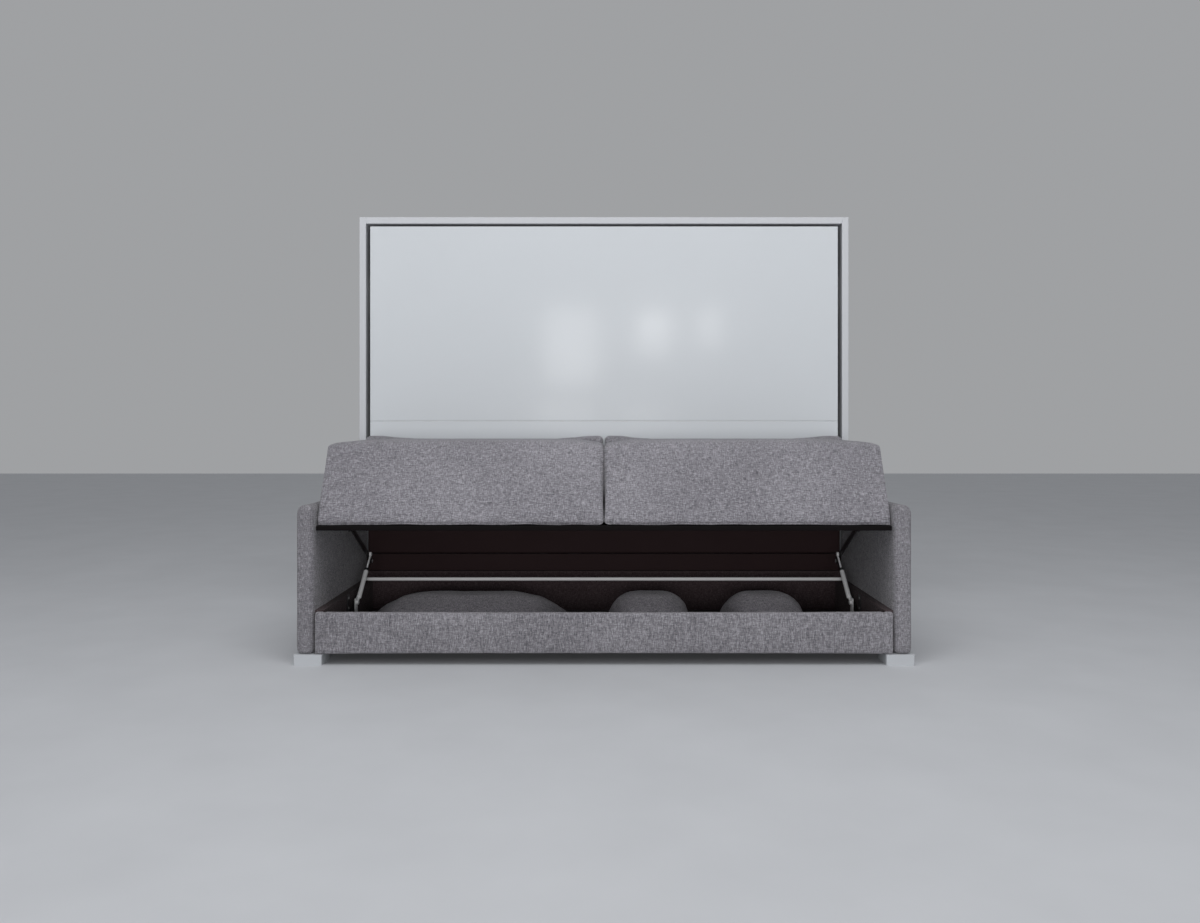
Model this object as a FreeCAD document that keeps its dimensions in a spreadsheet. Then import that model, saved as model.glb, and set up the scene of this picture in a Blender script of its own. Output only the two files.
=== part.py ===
# Sofa wall bed: an upholstered sofa with a lifting seat over a storage box, standing in front of
# a cabinet whose bed folds down over the closed seat. Millimetres, +Z up, the front faces -Y.
# The origin is at floor level, in the middle of the whole footprint.
import FreeCAD, Part
import Sketcher
import math
import os
import re

Vector = FreeCAD.Vector

# Driving dimensions
SIZES = {
    "sofa_overhang": 32, "sofa_depth": 794, "arm_thickness": 70, "arm_top": 568,
    "arm_round": 33, "arm_edge_round": 20,
    "foot_height": 39, "foot_width": 100, "foot_length": 110, "foot_bevel": 6,
    "box_top": 191, "box_front_wall": 24, "box_side_wall": 30, "box_rear_wall": 20,
    "box_floor_thickness": 12, "box_round": 8, "box_rear_gap": 22, "box_rear_top": 216,
    "seat_gap": 6, "seat_setback": 15, "seat_back_room": 238, "seat_board_thickness": 16,
    "seat_lift": 282, "seat_padding": 285, "seat_lean": 145, "seat_seam": 2, "seat_crown": 6,
    "seat_round": 26, "seat_draw": 7,
    "back_bottom": 455, "back_top": 806, "back_thickness": 205, "back_side_gap": 12,
    "back_dip": 20, "back_draw": 14, "back_seam": 3,
    "apron_thickness": 10, "apron_drop": 8,
    "pillow_height": 136, "pillow_draw": 14, "pillow_setback": 75, "pillow_rear_room": 215,
    "pillow_crest_share": 0.72,
    "pillow_left_gap": 77, "pillow_right_gap": 195, "small_pillow_width": 345,
    "pillow_wide_gap": 140, "pillow_narrow_gap": 102,
    "plate_thickness": 3, "plate_width": 34, "link_thickness": 4, "link_width": 22, "link_gap": 3,
    "pin_radius": 5, "pin_clearance": 0.05, "open_pivot_gap": 0.3,
    "lift_pivot_depth": 350, "lift_pivot_height": 100, "knee_room": 79, "lid_pivot_drop": 30,
    "cross_tube_radius": 7, "cross_tube_share": 0.66,
    "gas_foot_setback": 42, "gas_foot_height": 150, "gas_share": 0.78,
    "gas_body_radius": 9, "gas_rod_radius": 3.5, "gas_eye_radius": 9, "gas_body_length": 178,
    "rod_engagement": 40, "eye_width": 8,
    "cabinet_width": 2120, "cabinet_height": 1744, "cabinet_depth": 450, "cabinet_board": 28,
    "plinth_height": 284, "plinth_thickness": 18, "rail_thickness": 18, "rail_height": 150,
    "wall_hole_radius": 4, "wall_hole_spacing": 1600,
    "panel_gap": 18, "panel_top_gap": 12, "panel_recess": 2, "panel_thickness": 18,
    "panel_bottom": 300, "panel_joint": 860, "panel_joint_gap": 1.5,
    "pivot_height": 575, "pivot_inset": 60, "pivot_pin_radius": 9,
    "frame_side_gap": 32, "frame_rail": 20, "frame_depth": 76, "frame_top_inset": 44,
    "frame_bottom_inset": 12, "slat_count": 14, "slat_thickness": 10, "slat_width": 68,
    "mattress_thickness": 160, "mattress_gap": 6, "mattress_round": 22,
    "strap_width": 45, "strap_thickness": 2, "strap_place": 620,
    "bed_spring_top": 1375, "bed_spring_inset": 180, "bed_spring_drop": 150, "bed_crank_inset": 80,
    "bed_spring_radius": 10, "bed_rod_radius": 5, "bed_body_length": 430,
}

doc = FreeCAD.newDocument("sofa_wall_bed")
sheet = doc.addObject("Spreadsheet::Sheet", "Sizes")
for row, (name, amount) in enumerate(SIZES.items(), start=1):
    sheet.set(f"A{row}", name)
    sheet.set(f"B{row}", str(amount))
    sheet.setAlias(f"B{row}", name)
doc.recompute()


class Measure:
    """Reads a driving dimension from the sheet as a plain number."""

    def __getattr__(self, name):
        return float(getattr(sheet, name))


size = Measure()

# Places that several pieces share, as sheet formulas
FRONT = "(-(sofa_depth + cabinet_depth) / 2)"
CABINET = "((sofa_depth - cabinet_depth) / 2)"
BACK = "((sofa_depth + cabinet_depth) / 2)"
SOFA_HALF = "(cabinet_width / 2 + sofa_overhang)"
BOX_HALF = f"({SOFA_HALF} - arm_thickness)"
BOX_DEPTH = "(sofa_depth - box_rear_gap)"
SEAT_DEPTH = "(sofa_depth - seat_setback - seat_back_room)"
SEAT_HALF = f"({BOX_HALF} - seat_gap)"
BOARD_BOTTOM = "(box_top + seat_lift)"
CABINET_INNER = "(cabinet_width / 2 - cabinet_board)"
PANEL_HALF = f"({CABINET_INNER} - panel_gap)"
PANEL_TOP = "(cabinet_height - cabinet_board - panel_top_gap)"
FACE = f"({CABINET} + panel_recess)"
FRAME_HALF = f"({CABINET_INNER} - frame_side_gap)"
FRAME_TOP = f"({PANEL_TOP} - frame_top_inset)"
FRAME_BOTTOM = "(panel_bottom + frame_bottom_inset)"
FRAME_FRONT = f"({FACE} + panel_thickness)"
PIVOT_Y = f"({FACE} + pivot_inset)"
SLAT_Y = f"({FRAME_FRONT} + frame_depth - slat_thickness)"
MATTRESS_Y = f"({FRAME_FRONT} + frame_depth)"

# The same places as numbers, for lofted and turned pieces
front_y = -(size.sofa_depth + size.cabinet_depth) / 2
cabinet_y = front_y + size.sofa_depth
face_y = cabinet_y + size.panel_recess
sofa_half = size.cabinet_width / 2 + size.sofa_overhang
box_half = sofa_half - size.arm_thickness
box_depth = size.sofa_depth - size.box_rear_gap
seat_rear_y = cabinet_y - size.seat_back_room
seat_half = box_half - size.seat_gap
board_bottom = size.box_top + size.seat_lift
board_top = board_bottom + size.seat_board_thickness
inner_wall = box_half - size.box_side_wall
cabinet_inner = size.cabinet_width / 2 - size.cabinet_board
box_floor_top = size.foot_height + size.box_floor_thickness

pieces = []
SIDES = (("left", -1), ("right", 1))
PAD_STEPS = 6
ARC_CHORDS = 9
PILLOW_FULLNESS = 0.6
SAME_PLACE = 0.1


def formula(text):
    """Turns bare dimension names into references to the sheet."""
    return re.sub(r"[a-z][a-z_]*[a-z]", lambda found: "Sizes." + found.group(0), str(text))


def bind(thing, **sizes):
    for prop, text in sizes.items():
        thing.setExpression(prop.replace("__", "."), formula(text))


def keep(thing, label):
    thing.Label = label
    pieces.append(thing)
    return thing


def box(name, x, y, z, length, width, height):
    thing = doc.addObject("Part::Box", name)
    bind(thing, Length=length, Width=width, Height=height,
         Placement__Base__x=x, Placement__Base__y=y, Placement__Base__z=z)
    return thing


def rod_along(name, axis, x, y, z, radius, length):
    """A round bar that starts at x, y, z and runs along the axis."""
    thing = doc.addObject("Part::Cylinder", name)
    thing.Placement = FreeCAD.Placement(Vector(), FreeCAD.Rotation(Vector(0, 0, 1), axis))
    bind(thing, Radius=radius, Height=length,
         Placement__Base__x=x, Placement__Base__y=y, Placement__Base__z=z)
    return thing


def cut(name, base, tool):
    thing = doc.addObject("Part::Cut", name)
    thing.Base = base
    thing.Tool = tool
    return thing


def fuse(name, things):
    thing = doc.addObject("Part::MultiFuse", name)
    thing.Shapes = things
    return thing


def group(name, things):
    thing = doc.addObject("Part::Compound", name)
    thing.Links = things
    return thing


def rounded(name, base, radius, wanted):
    """Rounds the edges whose middle and direction pass the wanted test."""
    doc.recompute()
    edges = []
    for index, edge in enumerate(base.Shape.Edges, start=1):
        middle = edge.valueAt((edge.FirstParameter + edge.LastParameter) / 2)
        if wanted(middle, edge.tangentAt(edge.FirstParameter)):
            edges.append((index, radius, radius))
    thing = doc.addObject("Part::Fillet", name)
    thing.Base = base
    thing.Edges = edges
    return thing


def solid_piece(label, shape):
    thing = doc.addObject("Part::Feature", label)
    thing.Shape = shape
    return keep(thing, label)


def mirrored_x(side, near, width):
    """Where a box starts in X when it spans near to near + width on one side."""
    return near if side > 0 else f"(-({near}) - ({width}))"


# Sofa arms, feet and storage box
def sofa_arm(word, side):
    height = "arm_top - foot_height"
    raw = box(f"arm_blank_{word}", mirrored_x(side, BOX_HALF, "arm_thickness"), FRONT, "foot_height",
              "arm_thickness", "sofa_depth", height)
    outer_x = side * sofa_half

    def front_or_top(middle):
        return abs(middle.y - front_y) < SAME_PLACE or abs(middle.z - size.arm_top) < SAME_PLACE

    def outer_edge(middle, way):
        on_outside = abs(middle.x - outer_x) < SAME_PLACE
        return on_outside and front_or_top(middle)

    def inner_edge(middle, way):
        on_inside = abs(middle.x - side * box_half) < SAME_PLACE
        high = middle.z > size.foot_height + SAME_PLACE
        return on_inside and high and front_or_top(middle)

    soft = rounded(f"arm_outer_{word}", raw, size.arm_round, outer_edge)
    keep(rounded(f"arm_shape_{word}", soft, size.arm_edge_round, inner_edge), f"arm_{word}")


def sofa_foot(word, side, place, y):
    near = f"({SOFA_HALF} - foot_width)"
    raw = box(f"foot_blank_{place}_{word}", mirrored_x(side, near, "foot_width"), y, "0",
              "foot_width", "foot_length", "foot_height")

    def upright(middle, way):
        return abs(way.z) > 0.9

    keep(rounded(f"foot_shape_{place}_{word}", raw, size.foot_bevel, upright), f"foot_{place}_{word}")


def storage_box():
    front = box("box_front_blank", f"-{BOX_HALF}", FRONT, "foot_height",
                f"2 * {BOX_HALF}", "box_front_wall", "box_top - foot_height")

    def front_top(middle, way):
        return abs(middle.y - front_y) < SAME_PLACE and abs(middle.z - size.box_top) < SAME_PLACE

    keep(rounded("box_front_shape", front, size.box_round, front_top), "box_front")
    wall_length = f"{BOX_DEPTH} - box_front_wall - box_rear_wall"
    for word, side in SIDES:
        near = f"({BOX_HALF} - box_side_wall)"
        keep(box(f"side_wall_{word}", mirrored_x(side, near, "box_side_wall"),
                 f"{FRONT} + box_front_wall", "foot_height",
                 "box_side_wall", wall_length, "box_top - foot_height"), f"box_side_{word}")
    keep(box("rear_wall", f"-{BOX_HALF}", f"{FRONT} + {BOX_DEPTH} - box_rear_wall", "foot_height",
             f"2 * {BOX_HALF}", "box_rear_wall", "box_rear_top - foot_height"), "box_rear")
    keep(box("floor_board", f"-({BOX_HALF} - box_side_wall)", f"{FRONT} + box_front_wall", "foot_height",
             f"2 * ({BOX_HALF} - box_side_wall)", wall_length, "box_floor_thickness"), "box_floor")


for word, side in SIDES:
    sofa_arm(word, side)
    sofa_foot(word, side, "front", FRONT)
    sofa_foot(word, side, "rear", f"{FRONT} + sofa_depth - foot_length")
storage_box()


# Seat: a board with two upholstered blocks whose front leans back
def tangent_arc(before, corner, after, reach):
    """An arc that rounds a corner and meets both straight runs at the given reach."""
    inward = (before - corner).normalize()
    outward = (after - corner).normalize()
    half_turn = (math.pi - inward.getAngle(outward)) / 2
    radius = reach / math.tan(half_turn)
    bisector = (inward + outward).normalize()
    middle = corner + bisector * (radius / math.cos(half_turn) - radius)
    return Part.Arc(corner + inward * reach, middle, corner + outward * reach).toShape()


def chords(start, middle, end):
    """The points of an arc's chords, without its end, so that a padded piece keeps few faces."""
    arc = Part.Arc(start, middle, end).toShape()
    return arc.discretize(ARC_CHORDS + 1)[:-1]


def seat_section(x, draw, crown):
    low_front = Vector(x, front_y + size.seat_setback + draw, board_top)
    top = board_top + size.seat_padding - draw
    high_front = Vector(x, low_front.y + size.seat_lean, top)
    rear_y = seat_rear_y - draw
    high_rear = Vector(x, rear_y, top)
    low_rear = Vector(x, rear_y, board_top)
    front_round = tangent_arc(low_front, high_front, high_rear, size.seat_round)
    rear_round = tangent_arc(high_front, high_rear, low_rear, size.seat_round)
    start = front_round.Vertexes[-1].Point
    end = rear_round.Vertexes[0].Point
    swell = Vector(x, (start.y + end.y) / 2, top + crown)
    edges = [
        Part.makeLine(low_front, front_round.Vertexes[0].Point), front_round,
        Part.Arc(start, swell, end).toShape(), rear_round,
        Part.makeLine(rear_round.Vertexes[-1].Point, low_rear), Part.makeLine(low_rear, low_front),
    ]
    return Part.Wire(edges)


def stations(near, far):
    """Places along X, closer together towards the ends, with a share that is -1 and 1 there."""
    for index in range(-PAD_STEPS, PAD_STEPS + 1):
        share = math.sin(math.pi / 2 * index / PAD_STEPS)
        yield (near + far) / 2 + share * (far - near) / 2, share


def padded_loft(label, near, far, section):
    """Lofts one padded piece along X; section takes x and its share."""
    wires = [section(x, share) for x, share in stations(near, far)]
    solid_piece(label, Part.makeLoft(wires, True, True))


def padded_facets(label, near, far, outline):
    """A padded piece of flat facets between its outlines, which all have as many points."""
    rings = [outline(x, share) for x, share in stations(near, far)]
    count = len(rings[0])
    faces = [Part.Face(Part.makePolygon(ring + [ring[0]])) for ring in (rings[0], rings[-1])]
    for here, there in zip(rings, rings[1:]):
        for index in range(count):
            after = (index + 1) % count
            lower = [here[index], here[after], there[after]]
            upper = [here[index], there[after], there[index]]
            for corners in (lower, upper):
                faces.append(Part.Face(Part.makePolygon([*corners, corners[0]])))
    solid = Part.makeSolid(Part.makeShell(faces))
    if solid.Volume < 0:
        solid.reverse()
    solid_piece(label, solid)


def seat_cushion(word, side):
    def section(x, share):
        return seat_section(side * x, size.seat_draw * share ** 8, size.seat_crown * (1 - 0.8 * share ** 2))

    padded_loft(f"seat_cushion_{word}", size.seat_seam / 2, seat_half - size.seat_seam, section)


keep(box("board", f"-{SEAT_HALF}", f"{FRONT} + seat_setback", BOARD_BOTTOM,
         f"2 * {SEAT_HALF}", SEAT_DEPTH, "seat_board_thickness"), "seat_board")
for word, side in SIDES:
    seat_cushion(word, side)


# Back cushions: wedges that lean on the bed panel, thickest at the waist, with raised corners
def back_section(x, draw, dip):
    thick = size.back_thickness - draw
    low = size.back_bottom + draw / 2
    high = size.back_top - dip
    waist = low + 0.3 * (high - low)
    rear_low = Vector(x, face_y, low)
    rear_high = Vector(x, face_y, high - 0.15 * (high - low))
    front_low = Vector(x, face_y - 0.9 * thick, low)
    front_mid = Vector(x, face_y - thick, waist)
    front_high = Vector(x, face_y - 0.62 * thick, high - 0.2 * (high - low))
    crest = Vector(x, face_y - 0.34 * thick, high)
    outline = [rear_high, rear_low]
    outline += chords(front_low, front_mid, front_high)
    outline += chords(front_high, crest, rear_high)
    return outline


def back_cushion(word, side):
    def section(x, share):
        draw = 3 * size.back_draw * share ** 8
        dip = size.back_dip * (1 - share ** 2) + size.back_draw * share ** 12
        return back_section(side * x, draw, dip)

    padded_facets(f"back_cushion_{word}", size.back_seam / 2, box_half - size.back_side_gap, section)


# Loose pillows that lie in the storage box
def pillow_section(x, draw, fullness):
    low = box_floor_top
    high = low + size.pillow_height * fullness
    near = front_y + size.pillow_setback + draw
    far = front_y + box_depth - size.pillow_rear_room - draw
    seam = low + (high - low) * 0.45
    tuck = size.pillow_height * 0.5
    lean = math.log(0.5) / math.log(size.pillow_crest_share)
    edge_low_far = Vector(x, far - tuck, low)
    outline = [edge_low_far, Vector(x, near + tuck, low)]
    for index in range(ARC_CHORDS + 1):
        share = index / ARC_CHORDS
        rise = math.sin(math.pi * share ** lean) ** PILLOW_FULLNESS
        outline.append(Vector(x, near + share * (far - near), seam + (high - seam) * rise))
    return outline


def pillow(label, left, width):
    def section(x, share):
        draw = size.pillow_draw * (1 - share ** 2)
        return pillow_section(x, draw, 0.35 + 0.65 * (1 - share ** 4))

    padded_facets(label, left, left + width, section)


for word, side in SIDES:
    back_cushion(word, side)
outer_left = inner_wall - size.pillow_right_gap - size.small_pillow_width
inner_left = outer_left - size.pillow_narrow_gap - size.small_pillow_width
large_left = size.pillow_left_gap - inner_wall
pillow("pillow_large", large_left, inner_left - size.pillow_wide_gap - large_left)
pillow("pillow_small_inner", inner_left, size.small_pillow_width)
pillow("pillow_small_outer", outer_left, size.small_pillow_width)
keep(box("apron_board", f"-{PANEL_HALF}", f"{FACE} - apron_thickness",
         "panel_bottom - apron_drop", f"2 * {PANEL_HALF}", "apron_thickness",
         "back_bottom - panel_bottom + apron_drop"), "back_apron")


# Seat lift: on each side two equal arms meet at a knee behind, so the seat rises level
lid_pivot_raised = board_bottom - size.lid_pivot_drop
half_rise = (lid_pivot_raised - size.lift_pivot_height) / 2
lift_reach = box_depth - size.box_rear_wall - size.knee_room - size.lift_pivot_depth
arm_length = math.hypot(lift_reach, half_rise)
arm_slope = math.atan2(half_rise, lift_reach)
lift_y = front_y + size.lift_pivot_depth
knee = Vector(0, lift_y + lift_reach, size.lift_pivot_height + half_rise)
lid_pivot = Vector(0, lift_y, lid_pivot_raised)
plate_x = inner_wall - size.plate_thickness
lower_x = plate_x - size.link_gap - size.link_thickness
upper_x = lower_x - size.link_gap - size.link_thickness
eye_x = upper_x - size.link_gap - size.eye_width - size.plate_thickness
gas_x = eye_x + size.eye_width / 2
gas_foot = Vector(0, lift_y + size.gas_foot_setback, size.gas_foot_height)
gas_top = lid_pivot + (knee - lid_pivot) * size.gas_share


def across(name, side, near, y, z, radius, length):
    """A round bar along X that spans near to near + length on one side."""
    start = near if side > 0 else f"(-({near}) - ({length}))"
    return rod_along(name, Vector(1, 0, 0), start, y, z, radius, length)


def link_arm(name, length, side, near, pivot, slope):
    """A flat bar with round ends and an eye at each end, turned about its first eye."""
    body = doc.addObject("PartDesign::Body", name)
    sketch = body.newObject("Sketcher::SketchObject", f"{name}_outline")
    plane = [item for item in body.Origin.OriginFeatures if item.Role == "XY_Plane"][0]
    sketch.AttachmentSupport = [(plane, "")]
    sketch.MapMode = "FlatFace"
    half = size.link_width / 2
    normal = Vector(0, 0, 1)
    quarter = math.pi / 2
    end_circle = Part.Circle(Vector(length, 0, 0), normal, half)
    start_circle = Part.Circle(Vector(0, 0, 0), normal, half)
    eye = size.pin_radius + size.pin_clearance
    sketch.addGeometry([
        Part.LineSegment(Vector(0, half, 0), Vector(length, half, 0)),
        Part.ArcOfCircle(end_circle, -quarter, quarter),
        Part.LineSegment(Vector(length, -half, 0), Vector(0, -half, 0)),
        Part.ArcOfCircle(start_circle, quarter, 3 * quarter),
        Part.Circle(Vector(0, 0, 0), normal, eye),
        Part.Circle(Vector(length, 0, 0), normal, eye),
    ], False)
    joins = [("Tangent", 0, 2, 1, 2), ("Tangent", 1, 1, 2, 1), ("Tangent", 2, 2, 3, 2),
             ("Tangent", 3, 1, 0, 1), ("Coincident", 3, 3, -1, 1), ("Coincident", 4, 3, -1, 1),
             ("Coincident", 5, 3, 1, 3), ("PointOnObject", 1, 3, -1), ("Equal", 4, 5)]
    sketch.addConstraint([Sketcher.Constraint(*join) for join in joins])
    radius_index = sketch.addConstraint(Sketcher.Constraint("Radius", 3, half))
    eye_index = sketch.addConstraint(Sketcher.Constraint("Radius", 4, eye))
    sketch.addConstraint(Sketcher.Constraint("DistanceX", -1, 1, 1, 3, length))
    sketch.setExpression(f"Constraints[{radius_index}]", formula("link_width / 2"))
    sketch.setExpression(f"Constraints[{eye_index}]", formula("pin_radius + pin_clearance"))
    pad = body.newObject("PartDesign::Pad", f"{name}_pad")
    pad.Profile = sketch
    bind(pad, Length="link_thickness")
    along = Vector(0, math.cos(slope), math.sin(slope))
    upward = Vector(0, -math.sin(slope), math.cos(slope))
    start_x = near if side > 0 else -near - size.link_thickness
    turn = FreeCAD.Rotation(along, upward, Vector(1, 0, 0), "XYZ")
    body.Placement = FreeCAD.Placement(Vector(start_x, pivot.y, pivot.z), turn)
    return body


def tilted(name, start, way, radius, length):
    """A round bar from a point along a slanting direction."""
    thing = doc.addObject("Part::Cylinder", name)
    thing.Placement = FreeCAD.Placement(start, FreeCAD.Rotation(Vector(0, 0, 1), way))
    bind(thing, Radius=radius)
    thing.Height = length
    return thing


def spring_pair(word, side, names, x, foot, head, sizes):
    """A gas spring: a bored body with an eye on its pin, and a rod with an eye at the far end."""
    body_name, rod_name = names
    body_radius, rod_radius, body_length, eye_radius, pin = sizes
    way = (head - foot).normalize()
    shift = Vector(side * x, 0, 0)
    span = head.distanceToPoint(foot)
    eye_start = side * x - size.eye_width / 2
    neck_length = getattr(size, eye_radius) * 3
    neck = tilted(f"{body_name}_neck", foot + shift, way, "eye_width / 2 - open_pivot_gap",
                  neck_length)
    barrel_start = foot + shift + way * neck_length
    barrel = tilted(f"{body_name}_barrel", barrel_start, way, body_radius, body_length - neck_length)
    foot_eye = rod_along(f"{body_name}_eye", Vector(1, 0, 0), str(eye_start), str(foot.y), str(foot.z),
                         eye_radius, "eye_width")
    bore_start = barrel_start + way * size.gas_eye_radius
    bore = tilted(f"{body_name}_bore", bore_start, way, f"{rod_radius} + pin_clearance", body_length)
    pin_bore = rod_along(f"{body_name}_pin_bore", Vector(1, 0, 0), str(eye_start - body_length),
                         str(foot.y), str(foot.z), f"{pin} + pin_clearance", str(2 * body_length))
    solid = fuse(f"{body_name}_solid", [neck, barrel, foot_eye])
    slimmed = cut(f"{body_name}_bored", solid, bore)
    keep(cut(f"{body_name}_{word}_shape", slimmed, pin_bore), f"{body_name}_{word}")
    rod_start = foot + shift + way * (body_length - size.rod_engagement)
    rod_length = span - body_length + size.rod_engagement
    stem = tilted(f"{rod_name}_stem", rod_start, way, rod_radius, rod_length)
    head_eye = rod_along(f"{rod_name}_eye", Vector(1, 0, 0), str(eye_start), str(head.y), str(head.z),
                         eye_radius, "eye_width")
    keep(fuse(f"{rod_name}_{word}_shape", [stem, head_eye]), f"{rod_name}_{word}")


def lift_side(word, side):
    plate_y = f"{FRONT} + lift_pivot_depth - plate_width / 2"
    plate = box(f"lift_plate_{word}", mirrored_x(side, str(plate_x), "plate_thickness"), plate_y,
                "foot_height + box_floor_thickness", "plate_thickness", "plate_width",
                "box_top - foot_height - box_floor_thickness - link_gap")
    base_pin = across(f"lift_pin_{word}", side, str(lower_x - size.link_gap / 2),
                      f"{FRONT} + lift_pivot_depth", "lift_pivot_height", "pin_radius",
                      str(plate_x - lower_x + size.link_gap / 2))
    keep(fuse(f"lift_base_shape_{word}", [plate, base_pin]), f"lift_base_{word}")

    base_pivot = Vector(0, lift_y, size.lift_pivot_height)
    arm = link_arm(f"lower_arm_bar_{word}", arm_length, side, lower_x, base_pivot, arm_slope)
    knee_boss = across(f"knee_boss_{word}", side, str(upper_x + size.link_thickness + size.open_pivot_gap),
                       str(knee.y), str(knee.z), "link_width / 2 - open_pivot_gap",
                       "link_gap - open_pivot_gap")
    keep(fuse(f"lower_arm_shape_{word}", [arm, knee_boss]), f"lower_arm_{word}")

    upper = link_arm(f"upper_arm_bar_{word}", arm_length, side, upper_x, lid_pivot, -arm_slope)
    eye_end = eye_x + size.eye_width + size.open_pivot_gap
    stud = across(f"gas_stud_{word}", side, str(eye_end), str(gas_top.y), str(gas_top.z), "pin_radius",
                  str(upper_x - eye_end))
    keep(fuse(f"upper_arm_shape_{word}", [upper, stud]), f"upper_arm_{word}")

    hanger = box(f"lid_hanger_{word}", mirrored_x(side, str(lower_x), "plate_thickness"),
                 plate_y, f"{BOARD_BOTTOM} - lid_pivot_drop - link_width / 2",
                 "plate_thickness", "plate_width", "lid_pivot_drop + link_width / 2")
    lid_pin = across(f"lid_pin_{word}", side, str(upper_x - size.link_gap / 2), str(lid_pivot.y),
                     str(lid_pivot.z), "pin_radius", str(lower_x - upper_x + size.link_gap / 2))
    keep(fuse(f"lid_bracket_shape_{word}", [hanger, lid_pin]), f"lid_bracket_{word}")

    foot_plate_x = eye_x + size.eye_width + size.open_pivot_gap
    foot_plate = box(f"gas_foot_plate_{word}", mirrored_x(side, str(foot_plate_x), "plate_thickness"),
                     f"{plate_y} + gas_foot_setback", "foot_height + box_floor_thickness",
                     "plate_thickness", "plate_width", "gas_foot_height + plate_width / 2 - foot_height "
                     "- box_floor_thickness")
    foot_pin = across(f"gas_foot_pin_{word}", side, str(eye_x - size.link_gap / 2),
                      f"{FRONT} + lift_pivot_depth + gas_foot_setback", "gas_foot_height", "pin_radius",
                      str(foot_plate_x - eye_x + size.link_gap / 2))
    keep(fuse(f"gas_foot_shape_{word}", [foot_plate, foot_pin]), f"gas_foot_{word}")
    spring_pair(word, side, ("gas_cylinder", "gas_rod"), gas_x, gas_foot, gas_top,
                ("gas_body_radius", "gas_rod_radius", size.gas_body_length, "gas_eye_radius", "pin_radius"))


for word, side in SIDES:
    lift_side(word, side)
tube_place = Vector(0, lift_y, size.lift_pivot_height) + (
    knee - Vector(0, lift_y, size.lift_pivot_height)) * size.cross_tube_share
keep(rod_along("torsion_tube", Vector(1, 0, 0), str(-lower_x), str(tube_place.y), str(tube_place.z),
               "cross_tube_radius", str(2 * lower_x)), "cross_tube")


# Cabinet: two sides, a top, a plinth and two wall rails
def wall_rail(label, low):
    board = box(f"{label}_board", f"-{CABINET_INNER}", f"{BACK} - rail_thickness", low,
                f"2 * {CABINET_INNER}", "rail_thickness", "rail_height")
    holes = []
    for word, side in SIDES:
        holes.append(rod_along(f"{label}_hole_{word}", Vector(0, 1, 0), f"{side} * wall_hole_spacing / 2",
                               f"{BACK} - 2 * rail_thickness", f"{low} + rail_height / 2",
                               "wall_hole_radius", "3 * rail_thickness"))
    keep(cut(f"{label}_drilled", board, fuse(f"{label}_holes", holes)), label)


def cabinet():
    for word, side in SIDES:
        keep(box(f"cabinet_board_{word}", mirrored_x(side, CABINET_INNER, "cabinet_board"), CABINET, "0",
                 "cabinet_board", "cabinet_depth", "cabinet_height"), f"cabinet_side_{word}")
    keep(box("cabinet_lid", f"-{CABINET_INNER}", CABINET, "cabinet_height - cabinet_board",
             f"2 * {CABINET_INNER}", "cabinet_depth", "cabinet_board"), "cabinet_top")
    keep(box("plinth_board", f"-{CABINET_INNER}", f"{CABINET} + panel_recess", "0",
             f"2 * {CABINET_INNER}", "plinth_thickness", "plinth_height"), "cabinet_plinth")
    wall_rail("wall_rail_upper", "(cabinet_height - cabinet_board - rail_height)")
    wall_rail("wall_rail_lower", "(plinth_height - rail_height)")


# Bed: a panel in two boards carries a frame with slats and a strapped mattress
def bed_panels():
    keep(box("panel_low", f"-{PANEL_HALF}", FACE, "panel_bottom", f"2 * {PANEL_HALF}", "panel_thickness",
             "panel_joint - panel_bottom - panel_joint_gap / 2"), "bed_panel_lower")
    keep(box("panel_high", f"-{PANEL_HALF}", FACE, "panel_joint + panel_joint_gap / 2", f"2 * {PANEL_HALF}",
             "panel_thickness", f"{PANEL_TOP} - panel_joint - panel_joint_gap / 2"), "bed_panel_upper")


def bed_frame():
    crank = Vector(0, face_y + size.bed_crank_inset, size.pivot_height - size.bed_spring_drop)
    for word, side in SIDES:
        near = f"({FRAME_HALF} - frame_rail)"
        rail = box(f"side_rail_{word}", mirrored_x(side, near, "frame_rail"), FRAME_FRONT, FRAME_BOTTOM,
                   "frame_rail", "frame_depth", f"{FRAME_TOP} - {FRAME_BOTTOM}")
        bore = across(f"pivot_bore_{word}", side, f"({FRAME_HALF} - 2 * frame_rail)", PIVOT_Y,
                      "pivot_height", "pivot_pin_radius + pin_clearance", "3 * frame_rail")
        drilled = cut(f"side_rail_drilled_{word}", rail, bore)
        stud = across(f"crank_stud_{word}", side, FRAME_HALF, str(crank.y), str(crank.z), "pin_radius",
                      "frame_side_gap / 2 - bed_rod_radius - open_pivot_gap")
        keep(fuse(f"bed_side_shape_{word}", [drilled, stud]), f"bed_side_rail_{word}")
    inner = f"({FRAME_HALF} - frame_rail)"
    keep(box("rail_low", f"-{inner}", FRAME_FRONT, FRAME_BOTTOM, f"2 * {inner}", "frame_depth",
             "frame_rail"), "bed_rail_lower")
    keep(box("rail_high", f"-{inner}", FRAME_FRONT, f"{FRAME_TOP} - frame_rail", f"2 * {inner}",
             "frame_depth", "frame_rail"), "bed_rail_upper")
    slats = []
    for index in range(int(size.slat_count)):
        centre = f"(-{inner} + ({index} + 0.5) * 2 * {inner} / slat_count)"
        slats.append(box(f"slat_{index}", f"{centre} - slat_width / 2", SLAT_Y,
                         f"{FRAME_BOTTOM} + frame_rail", "slat_width", "slat_thickness",
                         f"{FRAME_TOP} - {FRAME_BOTTOM} - 2 * frame_rail"))
    keep(group("slat_set", slats), "bed_slats")


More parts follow.
